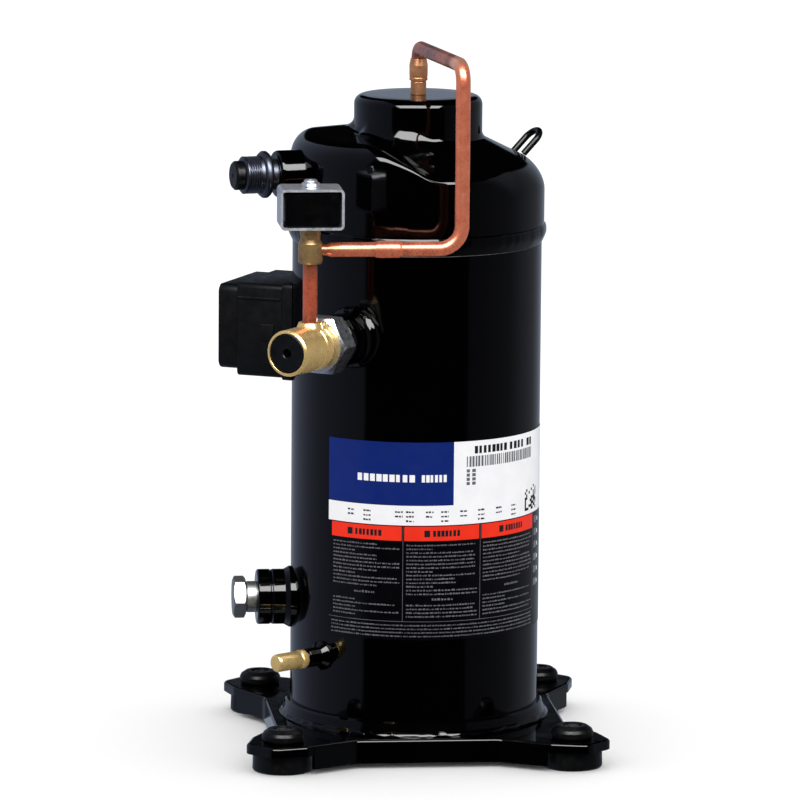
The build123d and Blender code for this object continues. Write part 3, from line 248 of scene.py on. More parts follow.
def film(name, tone, shade):
    """Printed label film: even ink with a faint unevenness and a glossy laminate."""
    look = Look(name, specular=0.22)
    look.colour(look.ramp(look.noise(90, 4), (0.3, tone), (0.8, shade)))
    look.rough(look.noise(160, 3), 0.16, 0.26)
    look.bump(look.noise(260, 2), 0.008)
    return look


def cast(name, dark, light):
    look = Look(name, metallic=1.0)
    look.colour(look.ramp(look.noise(220, 6, 0.65), (0.3, dark), (0.75, light)))
    look.rough(look.noise(400, 4), 0.42, 0.68)
    look.bump(look.cells(700), 0.12)
    return look


def machined(name, tone, shade, low=0.16, high=0.34):
    look = Look(name, metallic=1.0)
    look.colour(look.ramp(look.noise(130, 4), (0.3, tone), (0.8, shade)))
    look.rough(look.noise(500, 4, stretch=(1, 1, 12)), low, high)
    look.bump(look.noise(900, 2, stretch=(1, 1, 8)), 0.02)
    return look


def laminated():
    """Stack of thin electrical-steel sheets."""
    look = Look("motor_steel", metallic=1.0)
    look.colour(look.ramp(look.bands(100), (0.2, (0.10, 0.11, 0.13)), (0.7, (0.30, 0.31, 0.33))))
    look.rough(look.noise(200, 4), 0.3, 0.5)
    look.bump(look.bands(100), 0.1)
    return look


def winding():
    """Enamelled copper wire."""
    look = Look("winding", metallic=0.7)
    strands = look.noise(500, 3, stretch=(1, 1, 0.1))
    look.colour(look.ramp(strands, (0.3, (0.30, 0.09, 0.03)), (0.7, (0.62, 0.24, 0.09))))
    look.rough(look.noise(300, 3), 0.22, 0.4)
    look.bump(look.noise(900, 2, stretch=(1, 1, 0.08)), 0.2)
    return look


CLEAN_COPPER = (0.94, 0.29, 0.165), (0.80, 0.21, 0.11), (0.56, 0.115, 0.055)
DARK_COPPER = (0.74, 0.17, 0.09), (0.64, 0.13, 0.065), (0.48, 0.09, 0.045)
# Copper tints: braze stains, heat tint that also paints the top run's dark reflection as colour, a pale
# painted highlight, and a warm and a dull tint.
HEAT_TINT_AND_DARK_REFLECTION, BRAZE_TINT, PAINTED_HIGHLIGHT_TINT = (0.20, 0.10, 0.085), (0.12, 0.06, 0.03), (0.92, 0.66, 0.50)
WARM_TINT, DULL_TINT = (0.45, 0.12, 0.06), (0.22, 0.08, 0.05)

looks = [
    black_paint(),
    rubber(),
    moulded("eye_paint", (0.0004, 0.0004, 0.0006), (0.0010, 0.0010, 0.0014), 0.22, 0.34, 500, 0.02),
    plated("zinc_plate", (0.72, 0.74, 0.77), (0.60, 0.57, 0.50), 0.24, 0.36),
    plated("bright_zinc", (0.66, 0.68, 0.73), (0.60, 0.62, 0.68), 0.34, 0.46),
    plated("dull_zinc", (0.40, 0.41, 0.40), (0.30, 0.29, 0.26), 0.34, 0.50),
    plated("dark_zinc", (0.075, 0.08, 0.10), (0.05, 0.055, 0.07), 0.28, 0.42),
    brass(),
    stained_brass("valve_brass", (0.44, 0.30, 0.12), (0.32, 0.20, 0.08), (0.15, 0.08, 0.04)),
    stained_brass("union_brass", (0.72, 0.36, 0.18), (0.60, 0.27, 0.13), (0.30, 0.12, 0.05)),
    copper("vapour_copper", CLEAN_COPPER, [
        ((0, 0, 458), 14, BRAZE_TINT),
        # heat tint along the top run, darkened further as a painted dark reflection
        ((6, -40, 464), 70, HEAT_TINT_AND_DARK_REFLECTION),
        ((14, -88, 464), 16, BRAZE_TINT),
        # painted highlight on the front top bend
        ((16, -101, 462), 13, PAINTED_HIGHLIGHT_TINT),
        ((-19, VALVE_Y, VALVE_PORT_Z), 7, BRAZE_TINT),
    ]),
    copper("inlet_copper", CLEAN_COPPER, [
        ((-40, VALVE_Y, VALVE_PORT_Z), 7, BRAZE_TINT),
        ((-72, VALVE_Y, VALVE_PORT_Z), 14, WARM_TINT),
    ]),
    copper("outlet_copper", DARK_COPPER, [
        ((VALVE_X, VALVE_Y, 336), 14, DULL_TINT),
        ((VALVE_X, VALVE_Y, 298), 12, BRAZE_TINT),
    ]),
    moulded("dark_plastic", (0.0010, 0.0011, 0.0015), (0.0024, 0.0026, 0.0034), 0.34, 0.50, 900, 0.02),
    moulded("black_plastic", (0.0006, 0.0006, 0.0010), (0.0016, 0.0016, 0.0024), 0.16, 0.28, 500, 0.01),
    film("label_film", (0.0012, 0.0012, 0.0020), (0.0018, 0.0018, 0.0028)),
    film("label_blue", (0.0025, 0.0150, 0.140), (0.0030, 0.0170, 0.155)),
    film("label_white", (0.80, 0.80, 0.82), (0.86, 0.86, 0.88)),
    film("label_red", (0.76, 0.024, 0.007), (0.84, 0.030, 0.009)),
    film("label_grey", (0.090, 0.090, 0.105), (0.150, 0.150, 0.170)),
    film("label_shade", (0.10, 0.10, 0.12), (0.16, 0.16, 0.19)),
    film("label_ink", (0.010, 0.010, 0.014), (0.016, 0.016, 0.020)),
    cast("cast_iron", (0.10, 0.10, 0.105), (0.24, 0.235, 0.23)),
    machined("machined_steel", (0.55, 0.55, 0.56), (0.42, 0.42, 0.43)),
    machined("spring_steel", (0.50, 0.51, 0.54), (0.34, 0.35, 0.38)),
    laminated(),
    machined("aluminium", (0.80, 0.81, 0.82), (0.66, 0.67, 0.68), 0.26, 0.44),
    machined("bearing_bronze", (0.62, 0.40, 0.20), (0.46, 0.28, 0.13)),
    winding(),
]
materials = {look.name: look.material for look in looks}

NODE_LOOKS = {
    "black_paint": ["shell_body", "base_plate", "bottom_cap", "sight_stub"],
    "eye_paint": ["lifting_eye"],
    "machined_steel": ["grommet_sleeves", "guide_bolts", "lift_cylinder", "crankshaft", "lift_piston"],
    "cast_iron": [
        "partition_plate", "lower_bearing_bracket", "main_bearing_housing", "fixed_scroll",
        "orbiting_scroll", "floating_seal",
    ],
    "bearing_bronze": ["lower_bush", "main_bush", "drive_bush", "hub_bush"],
    "spring_steel": [
        "lift_spring", "plunger_spring", "discharge_valve_disc", "valve_plunger", "valve_guide_tube",
    ],
    "motor_steel": ["stator_core", "rotor_core"],
    "winding": ["stator_windings", "motor_leads"],
    "zinc_plate": ["suction_baffle"],
    "aluminium": ["oldham_ring"],
    "dark_plastic": ["power_terminal"],
    "vapour_copper": ["vapour_tube"],
    "outlet_copper": ["valve_outlet_tube"],
    "inlet_copper": ["valve_inlet_tube"],
    "brass": ["upper_counterweight", "lower_counterweight", "terminal_pins", "oil_valve_core"],
}


def wear(obj, look_name):
    """Gives an object one look on all of its faces."""
    obj.data.materials.clear()
    obj.data.materials.append(materials[look_name])


def dress_nodes():
    """The nodes that a piece stands for aren't listed above and take plain steel."""
    look_of = {name: look for look, names in NODE_LOOKS.items() for name in names}
    for name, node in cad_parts.items():
        wear(node, look_of.get(name, "machined_steel"))


# ---------------- mesh helpers
MERGE_GAP = 2e-6  # in metres; points closer than this become one
TINY = 1e-6
NEARLY_STRAIGHT = 0.12  # in radians; a corner that turns less isn't rounded
EDGE_SHARE = 0.45  # the most of an edge that one rounding takes
GUARD = 0.05  # a point this far off each rounding keeps the flats beside it flat in shading
THREAD_STEPS = 8  # points to each pitch of a thread
CORNERS = [(1, 1, 0), (-1, 1, pi / 2), (-1, -1, pi), (1, -1, 3 * pi / 2)]  # sides, where its arc starts
FILM_GAP = 0.35  # how far off the shell a piece lies that is laid on it
HEX_FACE, HEX_SLOPE = 0.95, 28.0  # a nut's turned face as a share of its width, and the cone behind it


def smooth_max(first, second, width):
    overlap = max(width - abs(first - second), 0) / width
    return max(first, second) + overlap * overlap * width / 4


def smooth_step(low, high, value):
    share = min(1, max(0, (value - low) / (high - low)))  # falls instead where high is under low
    return share * share * (3 - 2 * share)


def around(values, turn):
    """Value at that turn of a list spread round a circle, eased from each to the next."""
    place = turn / TURN * len(values)
    share = smooth_step(0, 1, place % 1)
    return values[int(place) % len(values)] * (1 - share) + values[int(place + 1) % len(values)] * share


def quarter_turn(steps):
    """Angles from 0 to a quarter turn, in radians."""
    return [pi / 2 * step / steps for step in range(steps + 1)]


def outward(angle):
    return Vector((cos(radians(angle)), sin(radians(angle)), 0))


def radial_axes(angle, height):
    """Origin, axis outward at that angle, and the direction a turn starts from."""
    return Vector((0, 0, height)), outward(angle), Vector((0, 0, 1))


def upright_axes(x=0.0, y=0.0):
    return Vector((x, y, 0)), Vector((0, 0, 1)), Vector((1, 0, 0))


def level_axes():
    """Axis along +X through the valve's port."""
    return Vector((0, VALVE_Y, VALVE_PORT_Z)), Vector((1, 0, 0)), Vector((0, 0, 1))


def piece(name, points, faces, look, slot, body="casing", stands_for=(), sharp=32):
    """Closed mesh in mm, cleaned, shaded, dressed and tied to its body."""
    mesh = bpy.data.meshes.new(name)
    mesh.from_pydata([Vector(point) * MM for point in points], [], faces)
    work = bmesh.new()
    work.from_mesh(mesh)
    bmesh.ops.remove_doubles(work, verts=work.verts, dist=MERGE_GAP)
    bmesh.ops.recalc_face_normals(work, faces=work.faces)
    work.to_mesh(mesh)
    work.free()
    mesh.shade_smooth()
    mesh.set_sharp_from_angle(angle=radians(sharp))
    obj = bpy.data.objects.new(name, mesh)
    bpy.context.scene.collection.objects.link(obj)
    wear(obj, look)
    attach(obj, body)
    if stands_for:
        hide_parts(*stands_for)
    return obj


def bridge(count, here, there):
    """Faces that join two loops of that many points, given where each loop starts."""
    faces = []
    for index in range(count):
        follow = (index + 1) % count
        faces.append((here + index, here + follow, there + follow, there + index))
    return faces


def skin(points, loops, closed=False):
    """Faces over equal loops: joined last to first where closed, capped at both ends otherwise."""
    count = len(points) // loops
    faces = []
    for loop in range(loops if closed else loops - 1):
        faces += bridge(count, loop * count, (loop + 1) % loops * count)
    if not closed:
        faces.append(tuple(range(count)))
        faces.append(tuple(range(len(points) - count, len(points))))
    return faces


def softened(outline, radius, steps=3):
    """The outline with each corner rounded, leaving those on the axis sharp."""
    result = []
    for index, corner in enumerate(outline):
        here = Vector(corner)
        back = Vector(outline[index - 1]) - here
        ahead = Vector(outline[(index + 1) % len(outline)]) - here
        fixed = here.y < TINY or back.length < TINY or ahead.length < TINY
        if fixed or back.angle(ahead) > pi - NEARLY_STRAIGHT:
            result.append(tuple(here))
            continue
        half_turn = back.angle(ahead) / 2
        reach = min(radius / tan(half_turn), EDGE_SHARE * min(back.length, ahead.length) - GUARD)
        start = here + back.normalized() * reach
        end = here + ahead.normalized() * reach
        result.append(tuple(start + back.normalized() * GUARD))
        for step in range(steps + 1):
            share = step / steps
            result.append(tuple(start.lerp(here, share).lerp(here.lerp(end, share), share)))
        result.append(tuple(end + ahead.normalized() * GUARD))
    return result


def spun(name, profile, axes, look, slot, segments=96, **facts):
    """Turned piece. The profile is an outline, or a function of the turn in radians that gives one."""
    origin, axis, start = axes
    side = axis.cross(start)
    outline_at = profile if callable(profile) else lambda turn: profile
    points = []
    for step in range(segments):
        turn = TURN * step / segments
        radial = start * cos(turn) + side * sin(turn)
        points += [origin + axis * place + radial * radius for place, radius in outline_at(turn)]
    faces = skin(points, segments, closed=True)
    obj = piece(name, points, faces, look, slot, **facts)
    marks = obj.data.attributes.new("along", "FLOAT", "POINT")
    for vertex, mark in zip(obj.data.vertices, marks.data):
        mark.value = (vertex.co - origin * MM).dot(axis)
    return obj


def thread(start, end, radius, pitch, depth, turn):
    """Points of a screw thread's ridge at that turn."""
    steps = round((end - start) / pitch * THREAD_STEPS)
    points = []
    for step in range(steps + 1):
        place = start + (end - start) * step / steps
        phase = (place / pitch - turn / TURN) % 1
        fade = min(1, (place - start) / pitch, (end - place) / pitch)
        points.append((place, radius - depth * fade * abs(2 * phase - 1)))
    return points


def hexagonal(across, bore, low, high, offset=0.0):
    """Profile of a hexagonal nut whose corners are turned down at both ends."""

    def outline(turn):
        reach = across / 2 / cos((turn + offset + pi / 6) % (pi / 3) - pi / 6)
        face = across / 2 * HEX_FACE
        cut = (reach - face) * tan(radians(HEX_SLOPE))
        half = [(low, bore), (low, face), (low + cut, reach)]
        return half + [(high - cut, reach), (high, face), (high, bore)]

    return outline


def rounded_loop(half, high, corner, steps=5):
    """Corner-rounded rectangle, centred, as (across, up) points."""
    points = []
    for x, y, start in CORNERS:
        middle_x, middle_y = x * (half - corner), y * (high - corner)
        for turn in quarter_turn(steps):
            across, up = corner * cos(start + turn), corner * sin(start + turn)
            points.append((middle_x + across, middle_y + up))
    return points


def lofted(name, loops, angle, height, look, slot, shift=0.0, **facts):
    """Skin through rounded rectangles (half, high, corner, reach) that stand across that angle.
    A reach of None lays the loop on the shell, and shift moves the whole piece sideways."""
    out, across = outward(angle), outward(angle + 90)
    points = []
    for half, high, corner, reach in loops:
        for u, v in rounded_loop(half, high, corner):
            depth = sqrt((SHELL_R + FILM_GAP) ** 2 - u * u) if reach is None else reach
            points.append(out * depth + across * (u + shift) + Vector((0, 0, height + v)))
    return piece(name, points, skin(points, len(loops)), look, slot, **facts)


# ---------------- top cap
CAP_STEPS, ROUND_STEPS, SLOPE_STEPS, KNUCKLE_STEPS = 360, 8, 20, 12
CAP_WALL = 3.4
CAP_LIP_TOP = 352  # the rim is straight below this
DOME_RADIUS, DOME_HEIGHT, DOME_FALL = 47.4, 403.5, 0.489  # a point on the dome, and its fall outward
DOME_BLEND = 5
RAMP_ANGLE, RAMP_START, RAMP_FALL = 186.0, 41.5, 0.62  # the shoulder falls from here toward the axis
RAMP_BLEND = 6
OUTER_SLOPE = 0.1  # its fall the other way, toward the rim
FAR_EXTENT = 5.0  # how much further in its top reaches behind the fitting
LEAN_SLOPE, LEAN_START = 0.055, -70  # its top leans toward the near side
ROLL_START, ROLL_END, ROLL_DROP = 8, 46, 6.0  # and rolls off on the far side
TURRET_ROUND = 6
KNUCKLE, CREASED_KNUCKLE = 14.5, 3.0  # rounding of the rim, and where the shoulder creases it
FILLET, NEAR_FILLET, FAR_FILLET = 3.2, 11.2, 7.2  # turret's foot on the ramp, and at either side of it
DENTS = [(247, 49, 0.8, 1.8), (273, 57, 0.8, 1.8), (272.5, 70, 0.7, 1.6)]  # angle, radius, rise, width


def cap_height(radius, angle):
    toward = radius * cos(radians(angle - RAMP_ANGLE))
    dome = DOME_HEIGHT - DOME_FALL * (radius - DOME_RADIUS)
    depth = -radius * cos(radians(angle - CAMERA_ANGLE))
    lean = LEAN_SLOPE * (min(ROLL_START, max(LEAN_START, depth)) - ROLL_START)
    roll = ROLL_DROP * smooth_step(ROLL_START, ROLL_END, depth)
    start = RAMP_START - FAR_EXTENT * (1 - side_of(angle)[1])
    tip = OUTER_SLOPE * smooth_max(toward - RAMP_START, 0, RAMP_BLEND)
    ramp = SHOULDER_TOP - RAMP_FALL * smooth_max(start - toward, 0, RAMP_BLEND) + lean - roll - tip
    height = smooth_max(dome, ramp, DOME_BLEND)
    for dent_angle, dent_radius, rise, width in DENTS:
        gap = (outward(angle) * radius - outward(dent_angle) * dent_radius).length
        height += rise * smooth_step(2 * width, 0, gap)
    return height


def side_of(angle):
    """Degrees from the discharge side, and 1 on the camera's half or 0 on the far one."""
    away = (angle - DISCHARGE_ANGLE + 180) % 360 - 180
    return abs(away), smooth_step(-20, 20, away)


def cap_profile(angle, inset):
    """(radius, height) points from the turret's top out and down to the rim."""
    away, near = side_of(angle)
    crease = smooth_step(38, 74, away) * (1 - smooth_step(98, 124, away)) * near
    knuckle = KNUCKLE + (CREASED_KNUCKLE - KNUCKLE) * crease
    side_fillet = FAR_FILLET + (NEAR_FILLET - FAR_FILLET) * near
    beside = smooth_step(6, 22, away) * (1 - smooth_step(64, 84, away))
    fillet = FILLET + (side_fillet - FILLET) * beside
    rim, turret, top = CAP_R - inset, TURRET_R - inset, TURRET_TOP - inset
    shoulder, flat = turret - TURRET_ROUND, top - TURRET_ROUND
    points = [(0, top), (12, top), (24, top), (shoulder, top)]
    for turn in quarter_turn(ROUND_STEPS)[1:]:
        points.append((shoulder + TURRET_ROUND * sin(turn), flat + TURRET_ROUND * cos(turn)))
    foot = cap_height(turret, angle) - inset + fillet
    points.append((turret, (flat + foot) / 2))
    for turn in quarter_turn(ROUND_STEPS):
        reach = turret + fillet * (1 - cos(turn))
        points.append((reach, cap_height(reach, angle) - inset + fillet * (1 - sin(turn))))
    inner, outer = turret + fillet, rim - knuckle
    for step in range(1, SLOPE_STEPS):
        reach = inner + (outer - inner) * step / SLOPE_STEPS
        points.append((reach, cap_height(reach, angle) - inset))
    for turn in quarter_turn(KNUCKLE_STEPS):
        reach = outer + knuckle * sin(turn)
        points.append((reach, cap_height(reach, angle) - inset - knuckle * (1 - cos(turn))))
    points.append((rim, CAP_LIP_TOP))
    points.append((rim, CAP_BOTTOM))
    return points


def build_cap():
    points, faces = [], []
    for step in range(CAP_STEPS):
        angle = 360 * step / CAP_STEPS
        ring = cap_profile(angle, 0) + cap_profile(angle, CAP_WALL)[::-1]
        for radius, height in ring:
            points.append(outward(angle) * radius + Vector((0, 0, height)))
    count = len(ring)
    for step in range(CAP_STEPS):
        here, there = step * count, (step + 1) % CAP_STEPS * count
        for index in range(count - 1):
            faces.append((here + index, here + index + 1, there + index + 1, there + index))
    piece("top_cap_skin", points, faces, "black_paint", "black_paint", stands_for=["top_cap"], sharp=60)


build_cap()

# ---------------- welds
WELD_NOTCHES, COLLAR_NOTCHES, SPUD_NOTCHES = 240, 110, 48
WELD_CROWN = 85.45
weld_random = random.Random(11)
weld_ripple = [weld_random.uniform(-0.22, 0.22) for step in range(WELD_NOTCHES)]


def weld_profile(turn):
    crown = WELD_CROWN + weld_ripple[round(turn / TURN * WELD_NOTCHES) % WELD_NOTCHES]
    return [
        (336.4, 82.6), (338.4, 83.6), (341.0, crown - 0.7), (342.8, crown), (345.4, crown),
        (347.4, crown - 0.3), (348.6, 84.2), (349.0, 83.2), (341.0, 83.2), (341.0, 82.6),
    ]


spun(
    "seam_weld_bead", weld_profile, upright_axes(), "black_paint", "black_paint",
    segments=WELD_NOTCHES, stands_for=["seam_weld"], sharp=70,
)

collar_random = random.Random(23)
collar_ripple = [collar_random.uniform(-0.5, 0.4) for step in range(COLLAR_NOTCHES)]


def collar_profile(turn):
    """Uneven fillet weld in two passes, round the shell's foot."""
    ripple = around(collar_ripple, turn)
    return [
        (24.6, 83.0), (24.6, 85.0), (24.2, 85.9 + ripple), (22.2, 87.0 + ripple), (21.8, 87.3 + ripple),
        (21.4, 88.4 - ripple), (19.0, 89.6 - ripple), (18.4, 89.9), (18.4, 83.0),
    ]


spun("collar_weld", collar_profile, upright_axes(), "black_paint", "black_paint", segments=360, sharp=70)

# ---------------- discharge fitting
discharge_axes = radial_axes(DISCHARGE_ANGLE, DISCHARGE_Z)
spun(
    "discharge_spud",
    softened([(78, 9.2), (78, 15.5), (99.5, 15.5), (99.5, 9.2)], 3.0, 6),
    discharge_axes, "black_paint", "black_paint", stands_for=["discharge_stub"],
)


def discharge_thread(turn):
    collar = [
        (99.6, 9.2), (99.6, 10), (104, 10), (104.6, 14.4), (106, 15.5), (108, 15.5), (109.6, 14.2),
        (110, 12.7),
    ]
    tail = [(121.8, 12.1), (122.4, 11.5), (122.4, 9.2)]
    return collar + thread(111, 121.6, 12.4, 1.6, 0.9, turn) + tail


spun("discharge_union", discharge_thread, discharge_axes, "dark_zinc", "zinc_plate", sharp=50)
spun(
    "discharge_bung",
    softened([
        (112.2, 0), (112.2, 8.4), (113, 9.0), (122.5, 9.0), (122.5, 9.6), (127.2, 9.6), (128.6, 8.2),
        (128.6, 2), (127.8, 0),
    ], 0.6),
    discharge_axes, "rubber", "rubber", body="discharge_bung", stands_for=["discharge_plug"],
)

# ---------------- suction fitting
suction_axes = radial_axes(SUCTION_ANGLE, SUCTION_Z)
spud_random = random.Random(7)
spud_ripple = [spud_random.uniform(-0.35, 0.15) for step in range(SPUD_NOTCHES)]


def suction_spud_profile(turn):
    """The weld round the foot is rippled."""
    ripple = around(spud_ripple, turn)
    return [
        (78, 12), (78, 20.6 + ripple), (83.6, 20.6 + ripple), (85.2, 19.8 + ripple), (86.6, 18.5 + ripple),
        (87.4, 17.2), (88.2, 16.9), (89.0, 16.2), (97.6, 16.2), (98.0, 16.6), (98.0, 17.2), (98.4, 17.6),
        (109.8, 17.6), (110.8, 17.2), (111.4, 16.4), (111.4, 14.9), (117.8, 14.9), (117.8, 12),
    ]


spun(
    "suction_spud", suction_spud_profile, suction_axes, "black_paint", "black_paint", segments=192,
    stands_for=["suction_stub"], sharp=50,
)
spun(
    "suction_hex_nut", hexagonal(36, 12.8, 112, 127), suction_axes, "zinc_plate", "zinc_plate",
    segments=144, body="rotating_nut", stands_for=["suction_nut"], sharp=24,
)
spun(
    "suction_coupling",
    softened([
        (118, 9), (118, 14.7), (122.7, 14.7), (122.7, 12.6), (128.5, 12.6), (128.5, 13.6),
        (131.5, 13.6), (132.5, 15), (138, 15), (138.6, 14.3), (140.4, 14.3), (141, 15), (164.8, 15),
        (166, 13.8), (166, 12.9), (143, 12.9), (143, 9),
    ], 0.5),
    suction_axes, "brass", "brass", stands_for=["suction_adapter"],
)
spun(
    "suction_side_boss",
    softened([(292, 4.8), (292, 9), (295.2, 8.6), (298.5, 7.2), (298.5, 4.8)], 0.8),
    upright_axes(VALVE_X, VALVE_Y), "brass", "brass",
)
spun(
    "suction_bung",
    softened([
        (146, 0), (146, 11.4), (149, 12.8), (165.2, 12.8), (165.8, 12.1), (165.8, 3.4), (165.2, 2.75),
        (157, 2.75), (157, 0),
    ], 0.5),
    suction_axes, "rubber", "rubber", body="suction_bung", stands_for=["suction_plug"],
)

# ---------------- oil fittings
sight_axes = radial_axes(SIGHT_ANGLE, SIGHT_Z)
spun(
    "sight_spud",
    softened([
        (76, 9.9), (76, 20.4), (84, 20.4), (87.5, 18.4), (95.2, 18.4), (95.7, 17.9), (96.7, 17.9),
        (97.2, 18.4), (104.7, 18.4), (105.7, 17.4), (105.7, 9.9),
    ], 0.7),
    sight_axes, "black_paint", "black_paint", stands_for=["sight_stub"],
)
spun(
    "sight_plug_neck",
    softened([(90, 0), (90, 9.8), (105.9, 9.8), (105.9, 10.4), (112, 10.4), (113.2, 9.2), (113.2, 0)], 0.4),
    sight_axes, "dull_zinc", "zinc_plate", stands_for=["sight_plug"],
)
spun(
    "sight_plug_hex", hexagonal(25.0, 0, 113, 121.5, radians(7)), sight_axes, "dull_zinc", "zinc_plate",
    segments=144, sharp=24,
)
KNURL_DEPTH, KNURL_RIDGES = 0.14, 40
oil_axes = radial_axes(OIL_ANGLE, OIL_Z)
spun(
    "oil_valve_spud",
    softened([
        (79, 2.75), (79, 9.6), (84, 9.6), (87.5, 6.4), (97, 6.4), (97, 4.5), (109, 4.5), (110, 3.8),
        (110, 2.75),
    ], 0.5),
    oil_axes, "black_paint", "black_paint", stands_for=["oil_valve_body"],
)


def oil_cap_profile(turn):
    """The skirt is knurled."""
    knurl = KNURL_DEPTH * cos(turn * KNURL_RIDGES)
    return [
        (98.4, 4.55), (98.4, 5.5), (98.9, 5.95), (99.6, 6.15 + knurl), (102.8, 6.15 + knurl), (103.6, 5.95),
        (104.0, 5.6), (104.6, 5.6), (105.0, 5.85), (112, 5.9), (121.6, 5.9), (123.1, 5.5), (123.8, 4.7),
        (124.0, 3.6), (124.0, 0), (112, 0), (112, 4.55),
    ]


spun(
    "oil_flare_cap", oil_cap_profile, oil_axes, "brass", "brass", segments=240, body="oil_cap",
    stands_for=["oil_valve_cap"], sharp=50,
)

# ---------------- feet
for index, (x, y) in enumerate([(-1, -1), (1, -1), (1, 1), (-1, 1)]):
    axes = upright_axes(x * FOOT_PITCH / 2, y * FOOT_PITCH / 2)
    grommet = [
        (0, 6.1), (0, 19.0), (1.2, 20.0), (14.2, 19.6), (15.9, 18.2), (15.9, 10.9), (19.1, 10.9),
        (19.1, 12.8), (20.6, 13.8), (23.4, 13.8), (25.4, 12.8), (27.5, 9.8), (27.5, 6.1),
    ]
    stands_for = ["mounting_grommets"] if index == 0 else []
    spun(f"foot_grommet_{index}", softened(grommet, 1.0), axes, "rubber", "rubber", stands_for=stands_for)

# ---------------- terminal box
box_shell = [
    (32.5, 28.7, 2.0, 87.2), (32.5, 28.7, 2.0, 113.9), (32.9, 29.1, 2.4, 114.4), (34.4, 30.6, 3.2, 114.4),
    (34.8, 31.0, 3.4, 114.2), (35.0, 31.2, 3.5, 113.7), (35.0, 31.2, 3.5, 82.6), (35.4, 32.0, 3.5, 82.2),
    (35.7, 32.5, 3.5, 81.9), (35.8, 32.6, 3.5, 81.4), (35.8, 32.6, 3.5, None), (20, 20, 3.5, None),
]
lofted(
    "terminal_box_shell", box_shell, BOX_ANGLE, BOX_Z, "dark_plastic", "dark_plastic",
    stands_for=["terminal_box_base"],
)
box_lid = [
    (31.2, 26.4, 2.0, 108.6), (31.8, 26.8, 2.0, 108.4), (32.2, 27.0, 2.0, 114.5), (33.7, 28.1, 4.8, 114.5),
    (34.0, 28.4, 5.0, 114.8), (34.0, 28.4, 5.0, 126.8), (33.6, 28.0, 4.8, 128.0), (32.6, 27.0, 4.2, 128.6),
    (30.0, 24.4, 3.4, 128.6), (29.4, 23.8, 3.2, 128.0),
]
BOX_SIDE, LID_RISE = 35.0, 1.2
lofted(
    "terminal_box_lid", box_lid, BOX_ANGLE, BOX_Z + LID_RISE, "dark_plastic", "dark_plastic",
    body="box_cover", stands_for=["terminal_box_cover"],
)
ledge = [(0.7, 0.9, 0.3, 83.5), (0.7, 0.9, 0.3, 114.2)]
latch = [(0.5, 5.2, 0.4, 87.5), (0.9, 5.6, 0.4, 88), (0.9, 5.6, 0.4, 96.6)]
tab = [(1.0, 5.8, 0.6, 74.2), (1.0, 5.8, 0.6, 79.8)]
for name, loops, rise, shift in [
    ("ledge", ledge, 21.4, BOX_SIDE),
    ("latch", latch, -1, BOX_SIDE),
    ("tab", tab, -36.2, 0),
]:
    lofted(
        f"terminal_box_{name}", loops, BOX_ANGLE, BOX_Z + rise, "dark_plastic", "dark_plastic", shift=shift,
    )

# ---------------- vapour line and solenoid valve
valve_axes = upright_axes(VALVE_X, VALVE_Y)
spun(
    "unloader_union",
    softened([
        (433.1, 4.0), (433.1, 5.2), (441.2, 5.2), (441.4, 5.0), (442.0, 5.0), (442.4, 6.0),
        (444.0, 6.0), (444.3, 5.8), (444.9, 5.8), (445.2, 6.05), (452.4, 6.1), (456.8, 5.3),
        (456.8, 4.8), (445.9, 4.8), (445.9, 4.0),
    ], 0.3),
    upright_axes(), "union_brass", "brass", stands_for=["unloader_fitting"],
)
spun(
    "line_coupling",
    softened([(-38.5, 4.8), (-38.5, 5.1), (-37, 5.6), (-23, 5.6), (-21.5, 5.1), (-21.5, 4.8)], 0.5),
    level_axes(), "inlet_copper", "copper", stands_for=["tube_coupling"],
)
spun(
    "valve_barrel",
    softened([
        (336.6, 4.8), (336.6, 7.1), (337.8, 7.9), (349.9, 7.9), (351.5, 6.9), (352.1, 6.5),
        (355.0, 6.5), (355.4, 6.9), (359.6, 6.9), (359.6, 4.8),
    ], 0.5),
    valve_axes, "valve_brass", "brass", stands_for=["valve_body"],
)


BRACKET_HALF, BRACKET_DEPTH = 20.6, 15.0
BRACKET_LOW, BRACKET_HIGH = 360.0, 386.4
BRACKET_SHEET, BRACKET_BEND = 1.6, 3.0
BRACKET_EDGE = 0.3  # an extra row of points this far in from each edge keeps the bends clean


def bracket_corner(x, z, turn_start, radius, steps=6):
    """Round corner with a guard point at each end."""
    turns = [turn_start + turn for turn in quarter_turn(steps)]
    arc = [(x + radius * cos(turn), z + radius * sin(turn)) for turn in turns]
    first, last = turns[0], turns[-1]
    before = (arc[0][0] + GUARD * sin(first), arc[0][1] - GUARD * cos(first))
    after = (arc[-1][0] - GUARD * sin(last), arc[-1][1] + GUARD * cos(last))
    return [before, *arc, after]


def build_bracket():
    """Open frame of bent sheet round the coil."""
    middle = (BRACKET_LOW + BRACKET_HIGH) / 2
    outer, inner = [], []
    for x, z, start in CORNERS:
        centre_x = x * (BRACKET_HALF - BRACKET_BEND)
        centre_z = middle + z * (BRACKET_HIGH - middle - BRACKET_BEND)
        outer += bracket_corner(centre_x, centre_z, start, BRACKET_BEND)
        inner += bracket_corner(centre_x, centre_z, start, BRACKET_BEND - BRACKET_SHEET)
    front, back = -BRACKET_DEPTH, BRACKET_DEPTH
    rows = [
        (outer, front + BRACKET_EDGE), (outer, back - BRACKET_EDGE), (outer, back), (inner, back),
        (inner, front), (outer, front),
    ]
    points = []
    for loop, y in rows:
        points += [Vector((VALVE_X + x, VALVE_Y + y, z)) for x, z in loop]
    piece(
        "coil_frame", points, skin(points, len(rows), closed=True), "bright_zinc", "zinc_plate",
        stands_for=["coil_bracket"], sharp=40,
    )


